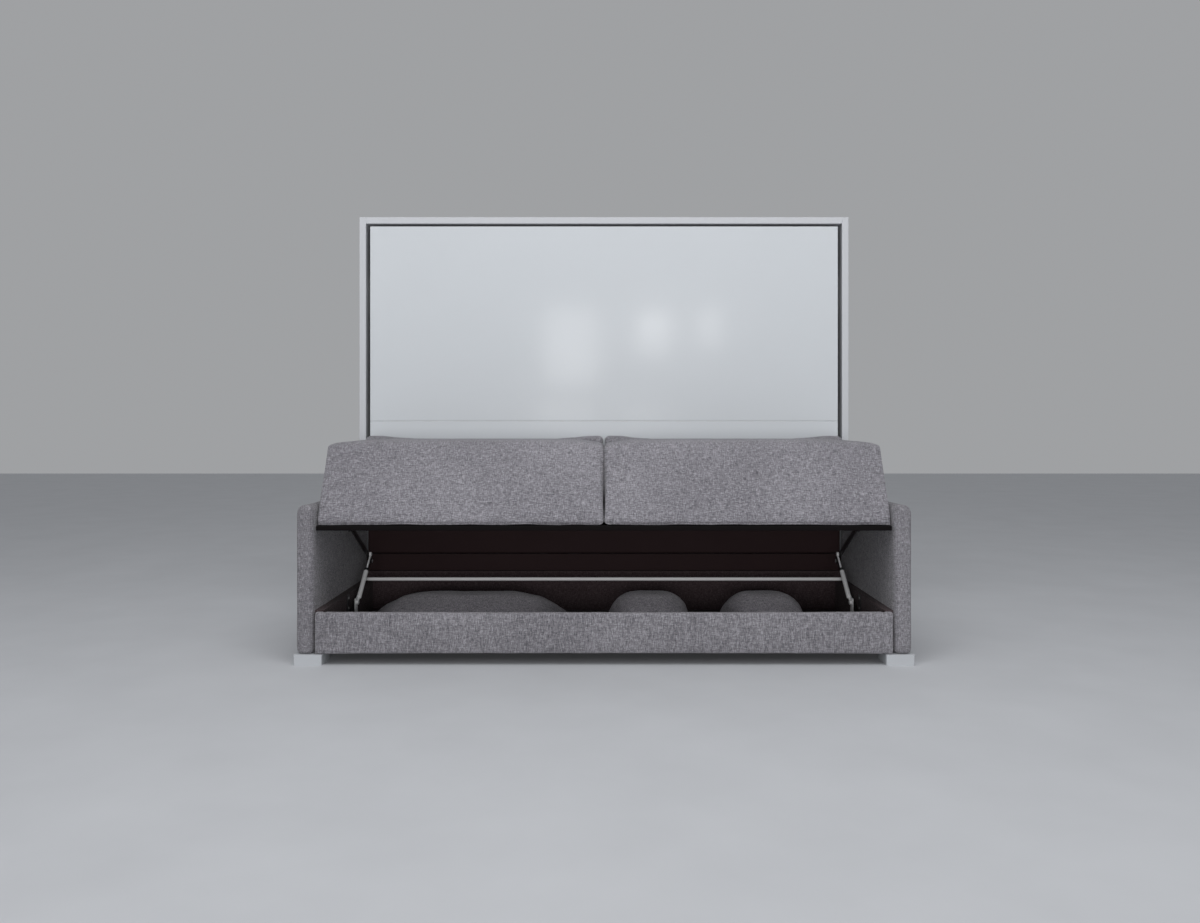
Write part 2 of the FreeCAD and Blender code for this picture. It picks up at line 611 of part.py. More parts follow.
def mattress():
    low = f"({FRAME_BOTTOM} + mattress_gap)"
    high = f"({FRAME_TOP} - mattress_gap)"
    block = box("mattress_block", f"-({FRAME_HALF} - mattress_gap)", MATTRESS_Y, low,
                f"2 * ({FRAME_HALF} - mattress_gap)", "mattress_thickness", f"{high} - {low}")

    def through_edge(middle, way):
        return abs(way.y) > 0.9

    keep(rounded("mattress_shape", block, size.mattress_round, through_edge), "mattress")
    straps = []
    reach = "(mattress_thickness + strap_thickness)"
    for word, side in SIDES:
        left = f"({side} * strap_place - strap_width / 2)"
        back = box(f"strap_back_{word}", left, f"{MATTRESS_Y} + mattress_thickness",
                   f"{low} - strap_thickness", "strap_width", "strap_thickness",
                   f"{high} - {low} + 2 * strap_thickness")
        under = box(f"strap_under_{word}", left, MATTRESS_Y, f"{low} - strap_thickness", "strap_width",
                    reach, "strap_thickness")
        over = box(f"strap_over_{word}", left, MATTRESS_Y, high, "strap_width", reach, "strap_thickness")
        straps.append(fuse(f"strap_{word}", [back, under, over]))
    keep(group("strap_set", straps), "mattress_straps")


def bed_hinges():
    spring_foot = Vector(0, face_y + size.bed_spring_inset, size.bed_spring_top)
    spring_head = Vector(0, face_y + size.bed_crank_inset, size.pivot_height - size.bed_spring_drop)
    spring_x = cabinet_inner - size.frame_side_gap / 2
    for word, side in SIDES:
        plate_near = f"({CABINET_INNER} - plate_thickness)"
        plate = box(f"pivot_plate_blank_{word}", mirrored_x(side, plate_near, "plate_thickness"),
                    f"{PIVOT_Y} - plate_width", "pivot_height - plate_width", "plate_thickness",
                    "2 * plate_width", "2 * plate_width")
        pin = across(f"pivot_pin_{word}", side, f"({FRAME_HALF} - frame_rail)", PIVOT_Y, "pivot_height",
                     "pivot_pin_radius", "frame_rail + frame_side_gap - plate_thickness")
        keep(fuse(f"pivot_plate_shape_{word}", [plate, pin]), f"pivot_plate_{word}")
        spring_stud = across(f"spring_stud_bar_{word}", side, str(spring_x - size.eye_width / 2),
                             str(spring_foot.y), str(spring_foot.z), "pin_radius",
                             str(cabinet_inner - spring_x + size.eye_width / 2))
        keep(spring_stud, f"spring_stud_{word}")
        spring_pair(word, side, ("bed_cylinder", "bed_rod"), spring_x, spring_foot, spring_head,
                    ("bed_spring_radius", "bed_rod_radius", size.bed_body_length, "gas_eye_radius",
                     "pin_radius"))


cabinet()
bed_panels()
bed_frame()
mattress()
bed_hinges()

doc.recompute()
for thing in doc.Objects:
    if "Invalid" in thing.State or "Error" in thing.State:
        raise RuntimeError(f"{thing.Name} did not build: {thing.State}")
os.makedirs("parts", exist_ok=True)
for piece in pieces:
    if piece.Shape.isNull() or not piece.Shape.isValid():
        raise RuntimeError(f"{piece.Label} has no valid shape")
for piece in pieces:
    piece.Shape.exportStep(f"parts/{piece.Label}.step")
print(len(pieces), "pieces")
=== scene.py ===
import math

import bmesh
import bpy
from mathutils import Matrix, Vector, noise
from mathutils.bvhtree import BVHTree


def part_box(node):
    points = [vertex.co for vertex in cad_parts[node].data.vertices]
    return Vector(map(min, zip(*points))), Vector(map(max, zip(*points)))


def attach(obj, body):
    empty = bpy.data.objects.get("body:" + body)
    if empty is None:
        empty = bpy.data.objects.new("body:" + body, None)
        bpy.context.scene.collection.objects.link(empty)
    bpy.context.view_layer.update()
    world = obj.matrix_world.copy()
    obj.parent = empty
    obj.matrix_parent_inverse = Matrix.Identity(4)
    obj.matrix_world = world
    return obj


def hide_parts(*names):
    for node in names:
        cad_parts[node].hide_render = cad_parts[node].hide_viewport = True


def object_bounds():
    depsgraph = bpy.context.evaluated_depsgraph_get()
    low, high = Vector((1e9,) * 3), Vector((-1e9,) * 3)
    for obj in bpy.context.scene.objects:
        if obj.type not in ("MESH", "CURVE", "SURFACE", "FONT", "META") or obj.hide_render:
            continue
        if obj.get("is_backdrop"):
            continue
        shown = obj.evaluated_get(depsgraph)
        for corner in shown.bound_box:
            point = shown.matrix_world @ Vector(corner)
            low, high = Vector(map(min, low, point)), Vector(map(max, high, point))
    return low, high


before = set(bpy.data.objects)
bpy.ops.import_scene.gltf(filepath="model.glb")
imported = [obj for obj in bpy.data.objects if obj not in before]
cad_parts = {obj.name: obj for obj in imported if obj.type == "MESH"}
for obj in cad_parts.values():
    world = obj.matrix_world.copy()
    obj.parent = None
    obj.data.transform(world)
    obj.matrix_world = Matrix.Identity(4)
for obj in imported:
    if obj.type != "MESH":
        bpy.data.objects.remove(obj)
scene = bpy.context.scene
cad_low, cad_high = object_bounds()
SIDES = (("left", -1), ("right", 1))

# The photograph's camera, solved from its one vanishing point
PHOTO_WIDTH = 1200
PHOTO_HEIGHT = 923
HORIZON_ROW = 422
CENTRE_COLUMN = 604
FOCAL_PIXELS = 963
CAMERA_HEIGHT = 0.856
CAMERA_STANDOFF = 3.38
SENSOR = 36.0


class Value:
    """A shader socket that takes part in sums written as Python expressions."""

    def __init__(self, owner, socket):
        self.owner = owner
        self.socket = socket

    def sum(self, operation, first, second=0.0):
        return self.owner.node("ShaderNodeMath", {"operation": operation}, {0: first, 1: second})

    def __add__(self, other):
        return self.sum("ADD", self, other)

    def __sub__(self, other):
        return self.sum("SUBTRACT", self, other)

    def __rsub__(self, other):
        return self.sum("SUBTRACT", other, self)

    def __mul__(self, other):
        return self.sum("MULTIPLY", self, other)

    __radd__ = __add__
    __rmul__ = __mul__

    def sine(self):
        return self.sum("SINE", self)

    def size(self):
        return self.sum("ABSOLUTE", self)

    def above(self, limit):
        return self.sum("GREATER_THAN", self, limit)

    def limited(self):
        return self.sum("MINIMUM", self.sum("MAXIMUM", self, 0.0), 1.0)


class Nodes:
    """Makes the nodes of one tree and links them."""

    def node(self, kind, settings=None, inputs=None, output=0):
        """A new node: its settings first, then the values or links of its sockets."""
        made = self.tree.nodes.new(kind)
        for key, value in (settings or {}).items():
            if key == "stops":
                self.set_stops(made.color_ramp, value)
            else:
                setattr(made, key, value)
        for key, value in (inputs or {}).items():
            self.feed(made.inputs[key], value)
        return Value(self, made.outputs[output])

    def parts(self, vector):
        """The three numbers of a vector."""
        split = self.node("ShaderNodeSeparateXYZ", inputs={0: vector}).socket.node
        return [Value(self, output) for output in split.outputs]

    def set_stops(self, ramp, stops):
        while len(ramp.elements) < len(stops):
            ramp.elements.new(0.5)
        for element, (position, colour) in zip(ramp.elements, stops):
            element.position = position
            element.color = (*colour, 1.0)

    def feed(self, socket, value):
        if isinstance(value, Value):
            self.tree.links.new(value.socket, socket)
        else:
            socket.default_value = value


class Finish(Nodes):
    """One procedural material: a Principled shader and the nodes that feed it."""

    def __init__(self, name):
        self.material = bpy.data.materials.new(name)
        self.material.use_nodes = True
        self.tree = self.material.node_tree
        self.shader = self.tree.nodes["Principled BSDF"]
        self.place = self.node("ShaderNodeTexCoord", output="Object")

    def set(self, **inputs):
        """Feeds the shader's sockets, named with underscores for spaces."""
        for key, value in inputs.items():
            if isinstance(value, tuple) and len(value) == 3 and key.endswith("Color"):
                value = (*value, 1.0)
            self.feed(self.shader.inputs[key.replace("_", " ")], value)

    def clouds(self, scale, detail=3.0, roughness=0.55):
        """Noise from 0 to 1; scale is a number, or three numbers to stretch it."""
        spread = scale if isinstance(scale, tuple) else (scale, scale, scale)
        mapped = self.node("ShaderNodeMapping", inputs={"Vector": self.place, "Scale": spread})
        return self.node("ShaderNodeTexNoise", inputs={"Vector": mapped, "Scale": 1.0, "Detail": detail,
                                                       "Roughness": roughness})

    def blend(self, factor, first, second):
        """A mix of two colours; the numbers are those of the Mix node's colour sockets."""
        colours = [c if isinstance(c, Value) else (*c, 1.0) for c in (first, second)]
        return self.node("ShaderNodeMix", {"data_type": "RGBA"},
                         {0: factor, 6: colours[0], 7: colours[1]}, output=2)

    def relief(self, height, strength, distance):
        bump = self.node("ShaderNodeBump",
                         inputs={"Height": height, "Strength": strength, "Distance": distance})
        self.set(Normal=bump)

    def facing(self):
        """How squarely the surface faces each axis, from 0 to 1."""
        return [part.size() for part in self.parts(self.node("ShaderNodeTexCoord", output="Normal"))]

    def ramp(self, factor, stops):
        return self.node("ShaderNodeValToRGB", {"stops": stops}, {0: factor})


def paint(red, green, blue):
    """A screen colour, from 0 to 255, made linear by the sRGB curve."""
    linear = []
    for part in (red, green, blue):
        share = part / 255.0
        linear.append(share / 12.92 if share <= 0.04045 else ((share + 0.055) / 1.055) ** 2.4)
    return tuple(linear)


def shaded(colour, share):
    """A colour made darker or lighter by a share."""
    return tuple(min(1.0, part * share) for part in colour)


def stretched(axis, own, others):
    """Three noise scales: one axis has its own, the other two share one."""
    return tuple(own if index == axis else others for index in range(3))


YARN_ALONG = 70.0
YARN_ACROSS = 390.0
SLUB_TONE = 2.6
FLECK_TONE = 0.95
WEAVE_TONE = 0.12
FADING_TONE = 0.3
CLOTH_SHINE = 0.25


def woven_cloth(name, dark, middle, light, thread, across_weight, upright_weight, sheen=0.2):
    """Mixed yarns: slubs along and across the cloth, a plain weave and slow uneven fading."""
    cloth = Finish(name)
    face_x, face_y, face_z = cloth.facing()
    turn = math.tau / thread
    wave_x, wave_y, wave_z = ((part * turn).sine() for part in cloth.parts(cloth.place))
    weave = face_x * wave_y * wave_z + face_y * wave_x * wave_z + face_z * wave_x * wave_y
    yarn_x, yarn_y, yarn_z = (
        cloth.clouds(stretched(axis, YARN_ACROSS, YARN_ALONG), detail=2.5, roughness=0.6) - 0.5
        for axis in range(3))
    fleck = cloth.clouds(640.0, detail=2.0, roughness=0.8)
    fading = cloth.clouds(2.6, detail=2.0)
    upright = yarn_x * (1.0 - face_x * face_x) + yarn_y * (1.0 - face_y * face_y)
    slub = upright * upright_weight + yarn_z * (1.0 - face_z * face_z) * across_weight
    tone = (slub * SLUB_TONE + (fleck - 0.5) * FLECK_TONE + weave * WEAVE_TONE
            + (fading - 0.5) * FADING_TONE + 0.5)
    cloth.set(Base_Color=cloth.ramp(tone.limited(), [(0.08, dark), (0.5, middle), (0.95, light)]),
              Roughness=(0.86 + fleck * 0.1).limited(), Sheen_Weight=sheen, Sheen_Roughness=0.5,
              Specular_IOR_Level=CLOTH_SHINE)
    cloth.relief(weave * 0.35 + slub + fleck * 0.5, strength=0.55, distance=0.0012)
    return cloth.material


def laminate(name, colour, roughness, mottle):
    """Laminated board: a smooth skin with faint waviness, a little dust and rubbed patches."""
    board = Finish(name)
    waves = board.clouds(5.0, detail=2.0)
    dust = board.clouds(60.0, detail=4.0, roughness=0.7)
    rub = board.clouds((2.0, 2.0, 14.0), detail=3.0)
    deep = shaded(colour, 1.0 - mottle)
    pale = shaded(colour, 1.0 + mottle)
    board.set(Base_Color=board.blend((waves * 0.7 + dust * 0.3).limited(), deep, pale),
              Roughness=(roughness + (rub - 0.5) * 0.08 + (dust - 0.5) * 0.06).limited())
    board.relief(waves * 0.8 + dust * 0.02, strength=0.05, distance=0.002)
    return board


def plated_steel(name, colour, roughness, stretch):
    """Plated steel with drawing lines along one way, dull patches and small dark pits."""
    steel = Finish(name)
    lines = steel.clouds(stretch, detail=4.0, roughness=0.7)
    dull = steel.clouds(28.0, detail=4.0)
    pits = steel.clouds(420.0, detail=1.0).above(limit=0.74)
    grey = steel.blend((lines * 0.6 + dull * 0.4).limited(), shaded(colour, 0.78), colour)
    steel.set(Base_Color=steel.blend(pits * 0.5, grey, shaded(colour, 0.35)), Metallic=0.7,
              Roughness=(roughness + (lines - 0.5) * 0.16 + (dull - 0.5) * 0.2).limited())
    steel.relief(lines, strength=0.12, distance=0.0004)
    return steel.material


def silver_lacquer(name, colour):
    """Silver lacquer on drawn tube: fine flakes, faint draw lines and rubbed spots."""
    lacquer = Finish(name)
    flakes = lacquer.clouds(1500.0, detail=1.0)
    lines = lacquer.clouds((12.0, 420.0, 420.0), detail=3.0)
    rub = lacquer.clouds(22.0, detail=4.0)
    tone = (flakes * 0.5 + lines * 0.3 + rub * 0.2).limited()
    lacquer.set(Base_Color=lacquer.blend(tone, shaded(colour, 0.8), colour), Metallic=0.1,
                Roughness=(0.4 + (rub - 0.5) * 0.2 + (flakes - 0.5) * 0.1).limited())
    lacquer.relief(lines * 0.6 + flakes * 0.2, strength=0.1, distance=0.0004)
    return lacquer.material


def powder_coat(name, colour, fine):
    """Baked powder paint: an orange-peel skin, worn a little lighter in places."""
    coat = Finish(name)
    peel = coat.clouds(fine, detail=2.0)
    wear = coat.clouds(16.0, detail=5.0, roughness=0.7)
    scuff = (wear - 0.62) * 5.0
    worn = tuple(min(1.0, part * 2.4 + 0.03) for part in colour)
    coat.set(Base_Color=coat.blend(scuff.limited() * 0.35, colour, worn),
             Roughness=(0.42 + (peel - 0.5) * 0.2 + (wear - 0.5) * 0.2).limited())
    coat.relief(peel, strength=0.25, distance=0.0006)
    return coat.material


def moulded_plastic(name, colour):
    """Moulded plastic: a fine spark-eroded grain and faint flow marks."""
    shell = Finish(name)
    grain = shell.clouds(900.0, detail=2.0)
    flow = shell.clouds(14.0, detail=3.0)
    shell.set(Base_Color=shell.blend(flow, shaded(colour, 0.92), colour),
              Roughness=(0.48 + (grain - 0.5) * 0.2).limited())
    shell.relief(grain, strength=0.2, distance=0.0004)
    return shell.material


def bent_birch(name, long_axis):
    """Peeled veneer: long pale grain, fine pores and a clear varnish."""
    wood = Finish(name)
    grain = wood.clouds(stretched(long_axis, 2.2, 60.0), detail=5.0, roughness=0.6)
    pore = wood.clouds(stretched(long_axis, 26.0, 900.0), detail=2.0)
    figure = (grain * 18.0).sine() * 0.5 + 0.5
    tone = figure * 0.6 + grain * 0.4
    shade = wood.ramp(tone.limited(), [(0.0, paint(181, 143, 96)), (0.55, paint(208, 173, 126)),
                                       (1.0, paint(226, 197, 154))])
    wood.set(Base_Color=wood.blend(pore.above(limit=0.66) * 0.35, shade, paint(146, 108, 66)),
             Roughness=(0.44 + pore * 0.14).limited(), Coat_Weight=0.2)
    wood.relief(grain * 0.6 + pore * 0.4, strength=0.2, distance=0.0006)
    return wood.material


FIGURE_PITCH = 0.016
RIB_PITCH = 0.0018


def quilted_ticking(name):
    """Knitted mattress cloth: a small raised diamond figure and slow patches of lighter and darker tone.
    """
    ticking = Finish(name)
    x, _, z = ticking.parts(ticking.place)
    turn = math.tau / FIGURE_PITCH
    figure = ((x + z) * turn).sine() * ((x - z) * turn).sine()
    loops = ticking.clouds(700.0, detail=2.0)
    slow_patches = ticking.clouds(4.0, detail=3.0)
    tone = (figure * 0.18 + (loops - 0.5) * 0.5 + (slow_patches - 0.5) * 0.4 + 0.5).limited()
    ticking.set(Base_Color=ticking.ramp(tone, [(0.0, paint(206, 203, 197)), (0.5, paint(226, 224, 219)),
                                               (1.0, paint(238, 237, 233))]),
                Roughness=0.9, Sheen_Weight=0.15)
    ticking.relief(figure * 0.5 + loops, strength=0.4, distance=0.001)
    return ticking.material


def strap_webbing(name):
    """Black webbing: ribs across the band, and fuzz."""
    web = Finish(name)
    _, y, z = web.parts(web.place)
    turn = math.tau / RIB_PITCH
    ribs = (z * turn).sine() + (y * turn).sine()
    fuzz = web.clouds(800.0, detail=2.0)
    tone = (fuzz * 0.6 + ribs * 0.15 + 0.2).limited()
    web.set(Base_Color=web.blend(tone, paint(28, 28, 31), paint(66, 66, 70)),
            Roughness=(0.74 + fuzz * 0.2).limited())
    web.relief(ribs * 0.5 + fuzz, strength=0.5, distance=0.0008)
    return web.material


# Finishes
THREAD = 0.0022
upholstery = woven_cloth("grey_upholstery", paint(82, 80, 85), paint(125, 123, 129), paint(170, 168, 174),
                         THREAD, across_weight=0.62, upright_weight=0.46)
arm_cloth = woven_cloth("grey_upholstery_upright", paint(78, 76, 81), paint(122, 120, 125),
                        paint(167, 165, 170), THREAD, across_weight=0.42, upright_weight=0.56)
pillow_cloth = woven_cloth("grey_pillow_cloth", paint(90, 87, 93), paint(136, 132, 139),
                           paint(184, 179, 187), THREAD, across_weight=0.6, upright_weight=0.6)
lining = woven_cloth("dark_lining", paint(46, 36, 38), paint(66, 55, 57), paint(92, 81, 84),
                     thread=0.002, across_weight=0.5, upright_weight=0.5, sheen=0.05)
thread = woven_cloth("sewing_thread", paint(62, 58, 62), paint(88, 84, 89), paint(118, 114, 119),
                     thread=0.0006, across_weight=0.3, upright_weight=0.3)
lacquered = laminate("gloss_front", paint(203, 207, 211), roughness=0.16, mottle=0.012)
lacquered.set(Coat_Weight=0.5, Coat_Roughness=0.09)
gloss_front = lacquered.material
# Painted light and shade: a lighter, redder copy of the black board, its colour set to the tone of the
# shaded storage inside rather than the board's own black
shadow_board = laminate("painted_interior_shade_board", paint(49, 36, 37), roughness=0.85, mottle=0.15).material
satin_white = laminate("satin_white", paint(193, 195, 199), roughness=0.42, mottle=0.015).material
dull_black = laminate("black_board", paint(15, 12, 13), roughness=0.82, mottle=0.2)
dull_black.set(Specular_IOR_Level=0.12)
black_board = dull_black.material
bright_steel = plated_steel("plated_steel", paint(206, 206, 208), roughness=0.3,
                            stretch=stretched(0, 14.0, 500.0))
# Partly painted light: the tubes' own silver, raised to near white so that they read bright in the shade
# under the seat
lightened_silver_tube = silver_lacquer("silver_lacquer", paint(250, 250, 251))
polished_rod = plated_steel("polished_rod", paint(222, 222, 224), roughness=0.14,
                            stretch=stretched(2, 30.0, 400.0))
dark_steel = powder_coat("dark_powder_coat", paint(46, 44, 46), fine=620.0)
foot_plastic = moulded_plastic("pale_foot_plastic", paint(184, 187, 191))
cap_plastic = moulded_plastic("black_cap_plastic", paint(36, 36, 38))
birch = bent_birch("bent_birch", long_axis=2)
ticking = quilted_ticking("quilted_ticking")
webbing = strap_webbing("black_webbing")


def finish_piece(piece, material, body, slot, *nodes):
    """Gives a piece its finish, ties it to its body and hides the nodes that it stands for."""
    piece.data.materials.clear()
    piece.data.materials.append(material)
    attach(piece, body)
    if nodes:
        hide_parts(*nodes)


def new_piece(name, data):
    """A mesh, curve, lamp or camera as an object in the scene."""
    piece = bpy.data.objects.new(name, data)
    scene.collection.objects.link(piece)
    return piece


def smooth(mesh):
    mesh.polygons.foreach_set("use_smooth", [True] * len(mesh.polygons))


def mesh_from(shape, name):
    """A mesh from a shape in the making, its faces turned outward."""
    bmesh.ops.recalc_face_normals(shape, faces=shape.faces)
    mesh = bpy.data.meshes.new(name)
    shape.to_mesh(mesh)
    shape.free()
    return mesh


def evaluated(piece):
    """The piece as its modifiers leave it."""
    return piece.evaluated_get(bpy.context.evaluated_depsgraph_get())


def plain_mesh(piece):
    """The piece with its modifiers worked in, as a plain mesh."""
    bpy.context.view_layer.update()
    mesh = bpy.data.meshes.new_from_object(evaluated(piece))
    piece.modifiers.clear()
    piece.data = mesh
    return mesh


def block(name, low, high, bevel):
    """A square block with eased edges."""
    shape = bmesh.new()
    bmesh.ops.create_cube(shape, size=1.0)
    for vertex in shape.verts:
        vertex.co = Vector((low[axis] + high[axis]) / 2 + vertex.co[axis] * (high[axis] - low[axis])
                           for axis in range(3))
    bmesh.ops.bevel(shape, geom=shape.edges[:], offset=bevel, segments=2, affect="EDGES", profile=0.5)
    return new_piece(name, mesh_from(shape, name))


def board(node, body, material, slot, bevel=0.0012, ease=0.0):
    """A cut board in its node's place; ease keeps its top a hair below what comes to rest on it."""
    low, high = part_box(node)
    top = (high[0], high[1], high[2] - ease)
    finish_piece(block(f"{node}_board", low, top, bevel), material, body, slot, node)


# Padded pieces: each starts from its solid, a little smaller, and is blown up as cloth
SIM_FRAMES = 20
PRESSURE = 4.0
CLOTH_MASS = 0.3
CLOTH_STIFFNESS = 12.0
CLOTH_BENDING = 1.0
MERGE = 1e-5
EDGE_SLACK = 0.25
CROWN_POWER = 4
SMOOTH_ROUNDS = 2
SEAM_HALF = 0.0005


class Pad:
    """One padded piece on its way from the plain solid to a filled cover."""

    def __init__(self, node, body, material, folds, room, voxel, cap, fill, spill=(0.0, 0.0, 0.0),
                 slot="upholstery"):
        self.node = node
        self.body = body
        self.material = material
        self.folds = folds
        self.cap = cap
        self.fill = fill
        self.spill = spill
        self.slot = slot
        self.low, self.high = (Vector(corner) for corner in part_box(node))
        self.piece = new_piece(f"{node}_cover", self.starting_mesh(room))
        remesh = self.piece.modifiers.new("even mesh", "REMESH")
        remesh.mode = "VOXEL"
        remesh.voxel_size = voxel
        plain_mesh(self.piece)
        self.start = [vertex.co.copy() for vertex in self.piece.data.vertices]

    def starting_mesh(self, room):
        """The solid drawn in by the room that each of its sides swells into, low sides first."""
        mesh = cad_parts[self.node].data.copy()
        shape = bmesh.new()
        shape.from_mesh(mesh)
        bmesh.ops.remove_doubles(shape, verts=shape.verts, dist=MERGE)
        extent = self.high - self.low
        for vertex in shape.verts:
            for axis in range(3):
                near, far = room[0][axis], room[1][axis]
                kept = (extent[axis] - near - far) / extent[axis]
                vertex.co[axis] = self.low[axis] + near + (vertex.co[axis] - self.low[axis]) * kept
        shape.to_mesh(mesh)
        shape.free()
        return mesh

    def add_cloth(self):
        """Makes the cover a weightless cloth under pressure."""
        cloth = self.piece.modifiers.new("cover", "CLOTH")
        cloth.settings.quality = 4
        cloth.settings.mass = CLOTH_MASS
        cloth.settings.tension_stiffness = CLOTH_STIFFNESS
        cloth.settings.compression_stiffness = CLOTH_STIFFNESS
        cloth.settings.bending_stiffness = CLOTH_BENDING
        cloth.settings.use_pressure = True
        cloth.settings.uniform_pressure_force = PRESSURE
        cloth.settings.effector_weights.gravity = 0.0
        cloth.point_cache.frame_start = 1
        cloth.point_cache.frame_end = SIM_FRAMES

    def crown(self, place, normal):
        """Full in the middle of a face and slack towards its edges."""
        share = 1.0
        flat = max(range(3), key=lambda axis: abs(normal[axis]))
        for axis in range(3):
            if axis != flat:
                reach = 2.0 * (place[axis] - self.low[axis]) / (self.high[axis] - self.low[axis]) - 1.0
                share *= 1.0 - min(1.0, abs(reach)) ** CROWN_POWER
        return EDGE_SLACK + (1.0 - EDGE_SLACK) * share

    def blown_up(self):
        normals = [vertex.normal.copy() for vertex in self.piece.data.vertices]
        cover = evaluated(self.piece)
        ends = []
        for place, normal, vertex in zip(self.start, normals, cover.data.vertices):
            move = vertex.co - place
            limit = self.cap * self.crown(place, normal)
            if move.length > limit:
                move = move * (limit / move.length)
            ends.append(place + move)
        return ends

    def finish(self, ends):
        """The blown-up cover, smoothed, folded and kept inside the solid's box and its spill."""
        self.piece.modifiers.clear()
        mesh = self.piece.data
        for vertex, place in zip(mesh.vertices, ends):
            vertex.co = place
        shape = bmesh.new()
        shape.from_mesh(mesh)
        for _ in range(SMOOTH_ROUNDS):
            bmesh.ops.smooth_vert(shape, verts=shape.verts, factor=0.5, use_axis_x=True, use_axis_y=True,
                                  use_axis_z=True)
        shape.to_mesh(mesh)
        shape.free()
        subdivision = self.piece.modifiers.new("smooth", "SUBSURF")
        subdivision.levels = 1
        subdivision.render_levels = 1
        mesh = plain_mesh(self.piece)
        normals = [vertex.normal.copy() for vertex in mesh.vertices]
        for vertex, normal in zip(mesh.vertices, normals):
            vertex.co = self.folds(vertex.co.copy(), normal)
            for axis, spill in enumerate(self.spill):
                low = self.low[axis] - spill - SEAM_HALF
                high = self.high[axis] + spill + SEAM_HALF
                vertex.co[axis] = min(max(vertex.co[axis], low), high)
        mesh.update()
        smooth(mesh)
        finish_piece(self.piece, self.material, self.body, self.slot, self.node)
        return self.piece


def ripple(place, scale, seed):
    """A soft uneven rise and fall, the same in every run."""
    return noise.noise(Vector(place) * scale + Vector((seed, 0.0, 0.0)))


# Seams and folds; a wave is given by its height, scale and seed
SEAM_REACH = 0.024
SEAM_PULL = 0.006
HEM_REACH = 0.02
HEM_WAVE = (0.0022, 9.0, 3.0)
TUCK_REACH = 0.055
TUCK_DEPTH = 0.012
FRONT_FACING = -0.5
SPREAD_START = 0.86
SPREAD_REACH = 0.13
SEAT_SPREAD = 0.021
SEAT_TAPER = 0.006
SEAT_LIFT = 0.0105
SEAT_WAVE = (0.0014, 11.0, 7.0)
BACK_SPREAD = 0.015
BACK_LIFT = 0.005
BACK_WAVE = (0.0016, 10.0, 21.0)
BOX_SEAM_X = 0.985
BOX_SEAM_WIDTH = 0.007
BOX_SEAM_DEPTH = 0.0028
FRONT_WAVE = (0.0007, 14.0, 31.0)
ARM_WAVE = (0.0012, 9.0, 41.0)
PILLOW_WAVE = (0.003, 14.0, 51.0)
QUILT_FACING = 0.8
QUILT_PITCH = 0.13
QUILT_DEPTH = 0.006
QUILT_EDGE = 0.05
QUILT_FADE = 0.3
QUILT_STEEPNESS = 3.2


def waved(place, normal, height, scale, seed):
    """A place moved in or out by an uneven rise and fall."""
    return place + normal * height * ripple(place, scale, seed)


def closed_seam(place):
    """Draws the two halves together at the middle, so that only a fine line is left between them."""
    reach = abs(place.x)
    if reach < SEAM_REACH:
        pulled = max(SEAM_HALF, reach - SEAM_PULL * (1.0 - reach / SEAM_REACH))
        place.x = math.copysign(pulled, place.x)
    return place


def spread(place, amount):
    """Fills the outer end of a cushion out to the side."""
    share = min(1.0, max(0.0, (abs(place.x) - SPREAD_START) / SPREAD_REACH))
    place.x += math.copysign(amount * share * share * (3.0 - 2.0 * share), place.x)


def seat_folds(place, normal):
    """Full to the top and to the sides; tucked in and slightly waved where the cover meets the board."""
    rise = place.z - board_top
    share = rise / seat_height
    spread(place, SEAT_SPREAD - SEAT_TAPER * share)
    if rise < HEM_REACH:
        height, scale, seed = HEM_WAVE
        place.z += height * ripple((place.x, 0.0, 0.0), scale, seed) * (1.0 - rise / HEM_REACH)
    if rise < TUCK_REACH and normal.y < FRONT_FACING:
        place.y += TUCK_DEPTH * (1.0 - rise / TUCK_REACH) ** 2
    place.z += SEAT_LIFT * share * share
    return closed_seam(waved(place, normal, *SEAT_WAVE))


def back_folds(place, normal):
    """Full to the top and to the outer end."""
    share = (place.z - back_low[2]) / (back_high[2] - back_low[2])
    spread(place, BACK_SPREAD)
    place.z += BACK_LIFT * share * share
    return closed_seam(waved(place, normal, *BACK_WAVE))


def front_seams(place, normal):
    """Two upright seams near the ends of the box front."""
    near = abs(abs(place.x) - BOX_SEAM_X) / BOX_SEAM_WIDTH
    if near < 1.0:
        place = place - normal * BOX_SEAM_DEPTH * (1.0 - near * near)
    return waved(place, normal, *FRONT_WAVE)


def arm_folds(place, normal):
    return waved(place, normal, *ARM_WAVE)


def pillow_folds(place, normal):
    return waved(place, normal, *PILLOW_WAVE)


def quilting(place, normal):
    """Diamond quilting on both broad faces of the mattress, fading out at its edges."""
    if abs(normal.y) > QUILT_FACING:
        edge = min(place.x - mat_low.x, mat_high.x - place.x, place.z - mat_low.z, mat_high.z - place.z)
        first = abs((((place.x + place.z) / QUILT_PITCH) % 1.0) - 0.5)
        second = abs((((place.x - place.z) / QUILT_PITCH) % 1.0) - 0.5)
        puff = min(1.0, QUILT_STEEPNESS * min(0.5 - first, 0.5 - second))
        depth = QUILT_DEPTH * min(1.0, max(0.0, edge / QUILT_EDGE - QUILT_FADE))
        place = place - normal * depth * (1.0 - puff ** 0.5)
    return place


def sided(side, outer, seam, low, high):
    """The room on a piece's low and high sides, with its seam towards the middle of the sofa."""
    left, right = (outer, seam) if side < 0 else (seam, outer)
    return (left, *low), (right, *high)


